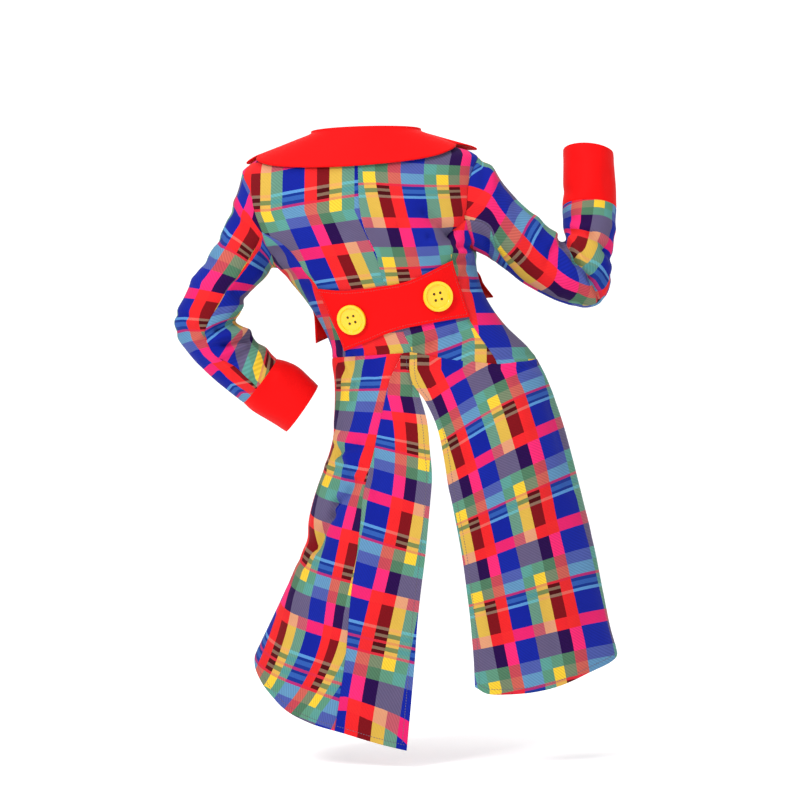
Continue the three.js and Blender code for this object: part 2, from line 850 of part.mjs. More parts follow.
const arms = {
  left: {
    rings: SLEEVE_LEFT,
    cuff: CUFF_LEFT,
    hole: lines.armholeLeft,
    middle: -90,
    ends: [SHOULDER_LEFT, ARMPIT_LEFT],
    yoke: YOKE_LEFT,
    under: PRINCESS_LEFT,
    below: sideEdge(lines.sideLeft, lines.princessLeft, topOfSideLeft, SIDE_ACROSS_LEFT, true),
  },
  right: {
    rings: SLEEVE_RIGHT,
    cuff: CUFF_RIGHT,
    hole: lines.armholeRight,
    middle: 90,
    ends: [SHOULDER_RIGHT, ARMPIT_RIGHT],
    yoke: YOKE_RIGHT,
    under: PRINCESS_RIGHT,
    below: sideEdge(lines.princessRight, lines.sideRight, topOfSideRight, SIDE_ACROSS_RIGHT, false),
  },
};
for (const [side, arm] of Object.entries(arms)) {
  const [first, last] = arm.ends;
  const top = body(arm.middle, first);
  const low = body(arm.middle, last);
  const away = alongArm([top.x, top.z, low.x, low.z], arm.rings[0]);
  const start = (round, out) =>
    holePoint(arm.hole, first, last, arm.middle, round, out).addScaledVector(away, SEAM_ARM);
  const sleeve = tube(arm.rings, start);
  const backSeam = curve(SLEEVE_SEAM[side]);
  const stops = holeRounds(arm);
  const piece = (rounds, from, to) => {
    const across = rounds.length - 1;
    const face = (inset) => (u, v) => {
      const at = v * ARM_ROWS;
      const even = mix(from(at), to(at), u);
      const round = mix(rounds[Math.round(u * across)], even, smooth(Math.min(1, at / SETTLE)));
      const ring = (angle) => sleeve(angle, at, 0);
      if (u === 0) return sleeve(shifted(ring, round, SEAM), at, -inset);
      return sleeve(u === 1 ? shifted(ring, round, -SEAM) : round, at, -inset);
    };
    return wall(across, ARM_ROWS, face(0), face(CLOTH));
  };
  const front = () => SLEEVE_SEAM_FRONT;
  const frontBefore = () => SLEEVE_SEAM_FRONT - 360;
  add(`sleeve_${side}_top`, "plaid_sleeve", piece(stops.top, frontBefore, backSeam));
  add(`sleeve_${side}_under`, "plaid_sleeve", piece(stops.low, backSeam, front));
  const cuffAway = alongArm(arm.rings[ARM_ROWS - 1], arm.cuff[0]);
  const cuff = tube(arm.cuff, (round, out) =>
    sleeve(round, ARM_ROWS, out).addScaledVector(cuffAway, SEAM_ARM));
  const cuffFace = (inset) => (u, v) => cuff(u * 360, v * arm.cuff.length, -inset);
  add(`cuff_${side}`, "red_cloth", wall(24, 4, cuffFace(0), cuffFace(CLOTH), true));
}

// The collar: a stand on the neck's edge, a fold, and a fall that lies over the shoulders.
const fallRow = curve(COLLAR_FALL, 1);
const fallLift = curve(COLLAR_FALL, 2);
const STAND_PATH = [
  // outwards, upwards
  [-2.4, 0.8],
  [-2.8, STAND_HEIGHT * 0.4],
  [-2.8, STAND_HEIGHT - 5],
  [-0.6, STAND_HEIGHT],
  [FOLD_OUT - 1.8, STAND_HEIGHT],
  [FOLD_OUT, STAND_HEIGHT - 4.5],
];
const FALL_STEPS = 4;
function collarPoint(turn, step) {
  const neck = bare(turn, 0);
  const centre = bare(0, 0).add(bare(180, 0)).multiplyScalar(0.5);
  const outwards = neck.clone().sub(centre).setZ(0).normalize();
  const stand = (k) => {
    const [out, up] = STAND_PATH[k];
    return neck.clone().addScaledVector(outwards, out).add(new THREE.Vector3(0, 0, up));
  };
  if (step < STAND_PATH.length) return stand(step);
  const share = (step - STAND_PATH.length + 1) / FALL_STEPS;
  const edge = body(turn, fallRow(turn), fallLift(turn) + CLOTH + LAYER);
  return stand(STAND_PATH.length - 1).lerp(edge, share);
}
const COLLAR_END = COLLAR_FALL[COLLAR_FALL.length - 1][0];
const COLLAR_ROWS = STAND_PATH.length - 1 + FALL_STEPS;
function collarFace(inset) {
  const turnOf = (u) => mix(-COLLAR_END, COLLAR_END, u);
  return (u, v) => {
    const step = Math.round(v * COLLAR_ROWS);
    const p = collarPoint(turnOf(u), step);
    if (inset === 0) return p;
    const ahead = collarPoint(turnOf(u), Math.min(step + 1, COLLAR_ROWS));
    const behind = collarPoint(turnOf(u), Math.max(step - 1, 0));
    const sideways = collarPoint(turnOf(u) + 1, step).sub(collarPoint(turnOf(u) - 1, step));
    const n = sideways.cross(ahead.sub(behind)).normalize();
    return p.addScaledVector(n, inset);
  };
}
add("collar", "red_cloth", wall(30, COLLAR_ROWS, collarFace(0), collarFace(CLOTH)));

// The lapels lie on the fronts, and their lower tips stand away from the body.
function lapel(table, edge, left) {
  const first = table[0][0];
  const last = table[table.length - 1][0];
  const outer = curve(table, 1);
  const rise = curve(table, 2);
  const face = (inset) => (u, v) => {
    const free = left ? u : 1 - u;
    const row = mix(first, last - 0.5 * (1 - free), v);
    const turn = mix(edge(row), outer(row), free);
    return body(turn, row, LAPEL_LAYER + CLOTH + rise(row) * free * free - inset);
  };
  return wall(5, 12, face(0), face(CLOTH));
}
add("lapel_left", "red_cloth", lapel(LAPEL_LEFT, lines.frontEdgeLeft, true));
add("lapel_right", "red_cloth", lapel(LAPEL_RIGHT, lines.frontEdgeRight, false));

// The half belt lies on the back, from princess seam to princess seam.
const beltTop = curve(BELT_TOP);
const beltBottom = curve(BELT_BOTTOM);
function beltFace(out) {
  return (u, v) => {
    const row = mix(beltTop(u), beltBottom(u), v);
    const [left, right] = [lines.princessLeft(row) + BELT_INSET, lines.princessRight(row) - BELT_INSET];
    return body(mix(left, right, u), row, out);
  };
}
add("half_belt", "red_cloth", wall(16, 5, beltFace(LAYER + CLOTH), beltFace(LAYER)));

const wasm = await Module();
wasm.setup();
const { Manifold, CrossSection } = wasm;

// A button round +Z with its back at 0: a raised rim, a dish and four holes.
function buttonSolid() {
  const inside = BUTTON_RADIUS - BUTTON_RIM_WIDTH;
  const round = 1.2;
  const outline = [
    [0, 0],
    [BUTTON_RADIUS - round, 0],
    [BUTTON_RADIUS, round],
    [BUTTON_RADIUS, BUTTON_RIM - round],
    [BUTTON_RADIUS - round, BUTTON_RIM],
    [inside + round, BUTTON_RIM],
    [inside, BUTTON_DISH],
    [0, BUTTON_DISH],
  ];
  let solid = Manifold.revolve(new CrossSection([outline]), 32);
  for (const [x, y] of [[1, 1], [1, -1], [-1, 1], [-1, -1]]) {
    const hole = Manifold.cylinder(3 * BUTTON_RIM, BUTTON_HOLE_RADIUS, BUTTON_HOLE_RADIUS, 12, true);
    solid = solid.subtract(hole.translate([x * BUTTON_HOLE_AT, y * BUTTON_HOLE_AT, 0]));
  }
  const mesh = solid.getMesh();
  const geometry = new THREE.BufferGeometry();
  geometry.setAttribute("position", new THREE.Float32BufferAttribute(mesh.vertProperties, 3));
  geometry.setIndex(Array.from(mesh.triVerts));
  return geometry;
}

for (const [name, turn, down, air] of BUTTONS) {
  const geometry = buttonSolid();
  const n = normalOf(body, turn, down, 2, 0.2).negate();
  const side = new THREE.Vector3(0, 0, 1).cross(n).normalize();
  const up = n.clone().cross(side);
  const pose = new THREE.Matrix4().makeBasis(side, up, n);
  geometry.rotateZ(radians(BUTTON_TURN));
  geometry.applyMatrix4(pose);
  const at = body(turn, down).addScaledVector(n, LAYER + CLOTH + air);
  geometry.translate(at.x, at.y, at.z);
  add(name, "yellow_plastic", geometry);
}

export default coat;
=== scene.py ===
"""A clown's tailcoat, worn and seen from behind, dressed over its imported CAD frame.

Lengths are millimetres until a mesh is made, with Z up and the back of the coat towards -Y. Every
cloth piece is a fine grid over the same rounded body or sleeve as the CAD piece that it replaces.
"""
import functools
import logging
import math
from dataclasses import dataclass, field
from enum import Enum
from typing import Callable, Sequence

import bmesh
import bpy
import numpy as np
from mathutils import Matrix, Vector


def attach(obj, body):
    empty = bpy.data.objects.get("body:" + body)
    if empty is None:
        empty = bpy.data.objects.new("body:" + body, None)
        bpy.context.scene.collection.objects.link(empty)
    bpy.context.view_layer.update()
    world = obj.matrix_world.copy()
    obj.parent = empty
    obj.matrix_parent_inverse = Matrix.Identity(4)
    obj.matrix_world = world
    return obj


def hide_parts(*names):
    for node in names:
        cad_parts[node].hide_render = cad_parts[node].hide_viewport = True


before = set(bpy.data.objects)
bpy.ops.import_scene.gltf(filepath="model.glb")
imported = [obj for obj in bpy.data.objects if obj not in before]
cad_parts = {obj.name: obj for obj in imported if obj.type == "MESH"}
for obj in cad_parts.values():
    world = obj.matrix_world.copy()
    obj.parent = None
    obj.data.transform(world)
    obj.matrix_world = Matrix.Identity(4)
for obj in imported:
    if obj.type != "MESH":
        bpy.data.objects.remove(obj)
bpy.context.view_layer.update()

LOG = logging.getLogger("tailcoat")
Array = np.ndarray
Line = Callable[[Array], Array]
Table = Sequence[Sequence[float]]
Colour = tuple[int, int, int]
Piece = bpy.types.Object
Finish = bpy.types.Material
Socket = bpy.types.NodeSocket
MM = 0.001
CLOTH = 1.7  # thickness of the checked cloth
RED_CLOTH = 2.0  # thickness of the collar, lapels, cuffs and half belt
SEAM = 0.02  # half of a seam's gap
CREASE_GAIN = 2.1  # how deep the fine creases are, next to their tables
SEAM_ARM = -0.5  # how far a sleeve slips into its armhole or its cuff, below 0
LAYER = 1.9  # air between the back and the half belt
LAPEL_LAYER = 0.8  # air between a front and its lapel
STEP = 1e-3  # step of the numerical derivatives
CELL = 4.2  # size of a cloth grid's cells
EDGE_STEPS = (0, 0.8, 1.8, 3.2, 5.0)  # distances of a grid's first lines from its edge
EDGE_ROUND = 2.0  # how far in a sewn edge starts to turn in
ALL_SEWN = (True, True, True, True)  # left, right, upper and lower edge of a panel
CORE_X = 90.0  # a place across that is inside the body at every height
WAIST_ROW = 13.0  # row of the waist seam
EYE = (72.6, -4500.0, -412.5)  # the camera's place
SEEN = 1320.0  # what it sees across, on the plane through the origin

# The body's rows: left and right edge, depth of back and front, power of the outline
BODY = (
    ("neck", -71, 3, 104, 8, 66, 66, 2.0), ("yoke1", -109, -2, 139, 7, 72, 68, 1.9),
    ("yoke2", -148, -10, 170, 3, 78, 72, 1.8), ("yoke3", -177, -26, 191, -4, 84, 78, 1.85),
    ("shoulder", -193, -45, 203, -16, 91, 86, 2.0), ("arm1", -195, -76, 205, -46, 101, 98, 2.2),
    ("arm2", -191, -116, 206, -91, 108, 108, 2.35), ("arm3", -172, -157, 208, -132, 110, 114, 2.4),
    ("chest", -135, -188, 206, -165, 108, 118, 2.4),
    ("under", -107, -219, 200, -185, 104, 120, 2.4),
    ("highWaist", -81, -251, 205, -221, 99, 117, 2.4), ("belt", -58, -287, 219, -252, 96, 112, 2.4),
    ("lowWaist", -43, -318, 246, -289, 95, 109, 2.35),
    ("waist", -38, -342, 292, -335, 98, 111, 2.3), ("hip1", -36, -388, 318, -384, 108, 115, 2.3),
    ("hip2", -38, -446, 340, -446, 116, 118, 2.3), ("hip3", -50, -512, 358, -512, 122, 120, 2.3),
    ("tail1", -71, -578, 375, -578, 126, 120, 2.3), ("tail2", -94, -660, 394, -652, 128, 120, 2.3),
    ("tail3", -120, -726, 409, -726, 129, 120, 2.3),
    ("tail4", -142, -777, 421, -784, 130, 120, 2.3),
    ("tail5", -167, -833, 434, -833, 130, 120, 2.3),
    ("tail6", -198, -908, 447, -908, 131, 120, 2.3), ("hem", -233, -998, 460, -998, 132, 120, 2.3),
)

# Lines on the body, as rows of down and turn
LINES = {
    "centreBack": (
        (0, 0), (6.4, 0), (7.9, -0.2), (9.7, -2), (10.8, -3), (12.1, -6.7), (13.2, -10),
    ),
    "armholeLeft": (
        (3.4, -90), (3.9, -76), (4.9, -61.5), (5.55, -58), (6.15, -55.8), (6.6, -55.5), (7.3, -62),
        (7.8, -73), (8.2, -90),
    ),
    "armholeRight": (
        (3.7, 90), (4.1, 78), (4.8, 67), (5.5, 61), (6.0, 59.4), (6.6, 57.7), (7.1, 59.5),
        (7.7, 70), (8.15, 90),
    ),
    "princessLeft": (
        (6.6, -55.5), (7.0, -46), (7.45, -44.2), (8.1, -47), (8.7, -47.6), (9.5, -48),
        (10.9, -54.5), (12.8, -57.5), (13.2, -57),
    ),
    "princessRight": (
        (6.6, 57.7), (7.1, 46), (7.6, 42.6), (8.9, 42.4), (10.2, 44), (11.6, 38), (12.7, 32),
        (13.4, 31.8),
    ),
    "sideLeft": (
        (6.6, -124.5), (7.3, -122), (9.0, -112), (13.2, -108),
    ),
    "sideRight": (
        (6.6, 122.3), (7.3, 118.8), (9.0, 112), (13.4, 106),
    ),
    "frontEdgeLeft": (
        (0, -134), (2, -141), (4, -148), (7, -160), (9, -161), (11, -152), (13.1, -140),
    ),
    "frontEdgeRight": (
        (0, 134), (2, 141), (4, 148), (7, 160), (9, 162), (11, 158), (13.1, 150),
    ),
    "ventLeft": (
        (12.9, -10.2), (13.6, -11.7), (14.1, -11), (15, -8.3), (15.65, -7.4), (16.5, -5.9),
        (18, -6.4), (19.7, -6.2), (21, -5.2), (22.7, -3.9),
    ),
    "ventRight": (
        (12.9, -10.2), (13.5, -13), (14, -12.7), (14.5, -8.1), (15.25, -3.9), (16.9, 0.3),
        (18.4, 4.4), (19.4, 6.5), (20.7, 8.2), (21.6, 9.3),
    ),
    "goreLeft": (
        (12.9, -14.5), (14.05, -26.6), (15.8, -35.8), (17.5, -34.3), (18.65, -32.4), (20, -29),
        (21, -26.6), (22.4, -24.1),
    ),
    "goreRight": (
        (12.9, 88), (17, 89), (22, 90),
    ),
    "tailFrontLeft": (
        (12.9, -128), (14.5, -127), (16.5, -124), (18.5, -118), (20.4, -106),
    ),
    "tailFrontRight": (
        (12.9, 132), (14.5, 131), (16.5, 127), (18.5, 119), (20.4, 106),
    ),
}

# Lower edges, as rows of turn and down
HEMS = {
    "waistLeft": (
        (-110, 13.05), (-61, 13.02), (-32, 12.98), (-9.5, 12.9),
    ),
    "waistRight": (
        (-10, 12.9), (4, 13.18), (20, 13.32), (40, 13.38), (69, 13.24), (110, 13.1),
    ),
    "frontLeft": (
        (-150, 12.3), (-108, 13.05),
    ),
    "frontRight": (
        (106, 13.1), (160, 12.3),
    ),
    "tailLeft": (
        (-118, 19.6), (-108, 20.3), (-96, 20.8), (-81, 21.1), (-68.8, 21.4), (-54.5, 21.76),
        (-43.7, 22.07), (-33, 22.26), (-20.8, 22.41), (-7.7, 22.61), (-3.9, 22.67),
    ),
    "tailRight": (
        (9.3, 21.56), (12.7, 21.7), (18.6, 21.72), (27.7, 21.68), (38.4, 21.55), (51.3, 21.32),
        (69.3, 21.11), (82, 20.95), (90, 20.75), (100, 20.3), (108, 19.9),
    ),
}

# Large folds: x1, z1, x2, z2, depth, width
FOLDS = (
    (112, -108, 158, -145, 5, 14), (158, -145, 208, -166, 7, 16), (70, -135, 170, -160, -4, 14),
    (-35, -350, -8, -400, -4, 12), (-50, -470, -25, -560, 7, 16), (-25, -560, -75, -640, 7, 18),
    (-75, -640, -95, -700, 5, 18), (-20, -480, 20, -575, -5, 18), (100, -345, 165, -312, -4, 10),
    (250, -370, 330, -560, -4, 30), (200, -400, 260, -640, 5, 34), (330, -560, 400, -840, 5, 30),
    (30, -600, 20, -920, -5, 26), (-60, -650, -80, -900, 6, 26),
)
# Finer creases of the back, from the picture: x1, z1, x2, z2, depth, width
CREASES = (
    (114, -110, 158, -146, 2.6, 6), (183, -110, 158, -146, 2.4, 6), (72, -136, 120, -150, 1.6, 7),
    (120, -150, 171, -165, 2.6, 6), (171, -165, 212, -161, 3.0, 6), (125, -156, 205, -178, -2.0, 8),
    (208, -166, 160, -190, 2.2, 6), (206, -170, 172, -215, 2.0, 6), (204, -172, 190, -232, 1.6, 6),
    (-130, -170, -95, -196, 1.8, 8), (-124, -186, -70, -206, -1.4, 9), (-112, -205, -76, -226, 1.4, 7),
    (-40, -120, 20, -128, -1.0, 12), (-60, -82, -20, -140, 1.0, 12), (30, -70, 60, -118, -1.0, 12),
    (-28, -345, -14, -368, 2.0, 6), (-14, -345, -2, -388, -1.8, 7), (-6, -342, -4, -388, 2.4, 5),
    (-4, -388, -12, -414, 2.2, 5), (10, -345, 18, -382, -1.6, 8), (28, -344, 34, -372, 1.4, 6),
    (52, -342, 50, -376, -1.2, 8), (74, -342, 64, -392, 1.4, 7), (97, -330, 122, -324, 1.6, 6),
    (122, -324, 162, -306, 2.0, 6), (162, -306, 188, -284, 1.6, 6), (108, -346, 150, -352, -1.2, 7),
    (150, -352, 180, -372, 1.6, 7), (190, -354, 214, -384, -1.4, 9), (230, -356, 262, -380, 1.8, 8),
    (262, -352, 300, -378, -1.6, 9), (240, -344, 284, -336, 1.8, 6), (270, -362, 296, -356, 1.6, 5),
    (2, -545, -38, -578, 3.8, 6), (-38, -578, -45, -600, 4.2, 6), (-45, -600, -79, -650, 4.0, 7),
    (-79, -650, -92, -676, 2.6, 8), (6, -486, -30, -500, 2.4, 6), (-2, -500, -36, -512, -1.8, 6),
    (12, -520, -20, -534, 2.4, 6), (-34, -488, -10, -540, 2.8, 6), (-46, -520, -30, -470, -2.2, 7),
    (26, -470, 34, -560, 1.6, 8), (26, -560, 10, -640, -1.4, 10), (60, -400, 78, -480, -1.2, 12),
    (150, -420, 190, -520, 1.4, 12), (260, -420, 300, -560, -1.6, 14), (318, -420, 352, -560, 1.4, 10),
    (180, -640, 210, -800, -1.4, 16), (300, -700, 340, -860, 1.4, 16), (-20, -760, -50, -920, -1.4, 14),
    (-110, -720, -150, -860, 1.6, 14),
)
# Creases of the hidden fronts
FRONT_CREASES = (
    (-120, -160, -70, -210, 2.4, 9), (-128, -180, -60, -250, -2.0, 10), (-60, -250, -10, -300, 2.0, 10),
    (200, -150, 150, -205, 2.4, 9), (204, -175, 170, -250, -2.0, 10), (180, -240, 230, -310, 2.2, 10),
    (-30, -350, -40, -470, 2.2, 12), (20, -360, 10, -480, -2.0, 14), (300, -360, 330, -480, 2.2, 12),
    (260, -380, 280, -520, -2.0, 14), (-90, -640, -140, -820, 2.2, 16), (390, -640, 430, -820, 2.2, 16),
)
# Creases of the sleeves, front and back alike
SLEEVE_CREASES = {
    "left": (
        (-190, -281, -222, -297, 4.2, 6), (-222, -297, -252, -320, 3.0, 7), (-176, -300, -226, -312, -3.0, 7),
        (-174, -314, -212, -322, 3.4, 5), (-212, -322, -248, -330, 2.4, 6), (-180, -326, -226, -342, -2.2, 7),
        (-299, -272, -272, -277, 2.4, 6), (-292, -300, -262, -306, 1.8, 7), (-286, -286, -258, -284, -1.8, 8),
        (-246, -156, -222, -148, 2.2, 6), (-262, -188, -236, -184, 1.6, 7), (-196, -238, -178, -252, 2.0, 7),
        (-186, -256, -206, -268, -1.8, 7), (-270, -214, -246, -222, -1.4, 8),
        (-206, -104, -180, -140, 1.6, 9),
        (-196, -86, -178, -120, -1.4, 8), (-164, -318, -196, -352, 1.8, 8), (-150, -330, -178, -372, -1.6, 9),
        (-246, -352, -214, -366, 1.6, 8), (-152, -194, -180, -212, 1.8, 8), (-160, -206, -196, -214, -1.4, 8),
    ),
    "right": (
        (340, -143, 361, -184, 4.4, 6), (361, -184, 386, -214, 4.4, 6), (386, -214, 404, -242, 3.4, 7),
        (352, -150, 376, -196, -3.0, 7), (355, -135, 386, -138, 2.4, 6), (386, -138, 411, -162, 2.8, 6),
        (411, -162, 424, -180, 2.6, 6), (364, -148, 396, -158, -1.8, 8), (346, -152, 322, -166, 1.8, 7),
        (322, -166, 312, -192, 1.8, 7), (352, -200, 336, -236, -1.8, 9), (368, -222, 366, -252, 1.8, 8),
        (206, -17, 210, -62, 2.2, 8), (222, -30, 226, -66, -1.6, 9), (188, -130, 216, -158, 2.0, 7),
        (214, -160, 232, -178, 2.0, 7), (232, -150, 262, -176, -1.4, 9), (260, -92, 270, -120, 1.4, 9),
        (300, -112, 296, -142, -1.4, 9), (400, -196, 420, -206, 1.8, 7), (396, -230, 410, -216, 1.8, 7),
        (350, -112, 372, -118, 1.4, 8), (410, -116, 428, -130, -1.4, 8),
    ),
}
CUFF_CREASES = {
    "left": (
        (-150, -400, -104, -392, 1.0, 12), (-128, -366, -96, -420, -0.9, 14),
        (-176, -425, -120, -440, -0.9, 12),
        (-160, -362, -140, -380, 1.2, 8),
    ),
    "right": (
        (356, -70, 366, -20, 1.0, 12), (392, -76, 400, -14, -0.9, 14), (420, -80, 416, -40, 1.0, 10),
        (346, -66, 360, -84, 1.2, 8),
    ),
}


# Rings: outer x and z, inner x and z, half depth, middle Y, lead
SLEEVE_LEFT = (
    (-198, -78, -139, -195, 61, 1, 0), (-208, -104, -145, -205, 58, -1, 0),
    (-223, -139, -155, -216, 55, -5, 0), (-246, -180, -167, -228, 52, -10, 0),
    (-266, -210, -177, -239, 50, -14, 0), (-282, -243, -186, -257, 49, -18, 0),
    (-297, -274, -191, -274, 48, -21, 0), (-294, -307, -191, -284, 47, -22, 1),
    (-279, -330, -188, -290, 46, -21, 2), (-257, -356, -180, -297, 45, -19, 3),
    (-231, -380, -167, -310, 44, -16, 4), (-208, -399, -152, -325, 43, -13, 4),
    (-185, -417, -130, -345, 42, -10, 5),
)
# The same of the raised sleeve
SLEEVE_RIGHT = (
    (221, -26, 214, -175, 60, 1, 0), (246, -59, 224, -182, 57, 3, 0),
    (274, -89, 234, -188, 55, 5, 0), (297, -109, 251, -200, 53, 7, 0),
    (318, -127, 274, -218, 51, 9, 0), (332, -135, 304, -235, 50, 10, 0),
    (338, -142, 337, -250, 49, 10, 0), (342, -144, 375, -260, 48, 12, 1),
    (345, -142, 406, -251, 47, 15, 3), (346, -137, 421, -221, 46, 20, 6),
    (345, -129, 424, -185, 44, 27, 9), (343, -112, 428, -145, 43, 34, 11),
    (343, -91, 433, -94, 42, 41, 12),
)
# The same of the cuffs
CUFF_LEFT = (
    (-167, -431, -111, -350, 43, -8, 5), (-145, -445, -91, -361, 44, -6, 5),
    (-115, -464, -63, -389, 45, -3, 5),
)
# The raised cuff
CUFF_RIGHT = (
    (344, -60, 433, -62, 42.5, 48, 12), (345, -30, 431, -32, 42.5, 54, 12),
    (346, 6, 429, -3, 43, 62, 12),
)
# The sleeves' back seams, as rows of ring and turn round the arm
SLEEVE_SEAM = {
    "left": (
        (0, 109.5), (2, 109), (4.4, 111), (6, 109), (7, 103), (8.5, 82), (9.6, 70), (11.4, 80), (13, 76),
    ),
    "right": (
        (0, 105), (0.6, 118), (1.5, 131), (2.9, 141), (4, 152), (5.2, 163), (7.4, 164), (13, 168),
    ),
}
# Where the raised sleeve folds over itself at the elbow, as rows of turn and ring
ELBOW_FOLD = (
    (0, 8.4), (70, 8.5), (110, 9.0), (180, 8.8),
)

# The collar's fall: turn, rows down to its edge, lift of the edge
COLLAR_FALL = (
    (-132, 2.2, 3), (-118, 2.7, 4), (-100, 3.1, 6), (-88, 2.2, 3), (-70, 2.8, 2), (-40, 3.8, 2),
    (0, 4.2, 2), (40, 3.8, 2), (66, 2.4, 2), (84, 1.7, 2), (92, 2.6, 6), (99, 3.35, 9),
    (112, 2.9, 6), (132, 2.2, 3),
)
# Lapels: rows down, turn of the outer edge, lift of that edge
LAPEL_LEFT = (
    (3.0, -127, 3), (4.0, -117, 5), (5.5, -124, 5), (8, -130, 6), (10, -120, 12), (11.7, -97, 21),
)
# The right lapel
LAPEL_RIGHT = (
    (3.0, 127, 3), (4.0, 117, 5), (5.5, 124, 5), (8, 130, 6), (9.5, 114, 10), (10.9, 94, 10),
)
# The half belt's edges: share across, rows down
BELT_TOP = (
    (0, 9.5), (0.24, 9.75), (0.45, 9.77), (0.6, 9.67), (0.8, 9.3), (1, 8.87),
)
# Its lower edge
BELT_BOTTOM = (
    (0, 12.71), (0.24, 12.28), (0.45, 11.89), (0.6, 11.72), (0.8, 11.62), (1, 11.58),
)
# Buttons: name, turn, rows down, air below
BUTTONS = (
    ("button_left", -33.6, 11.03, 0.6), ("button_right", 21.8, 10.51, 1.0),
)

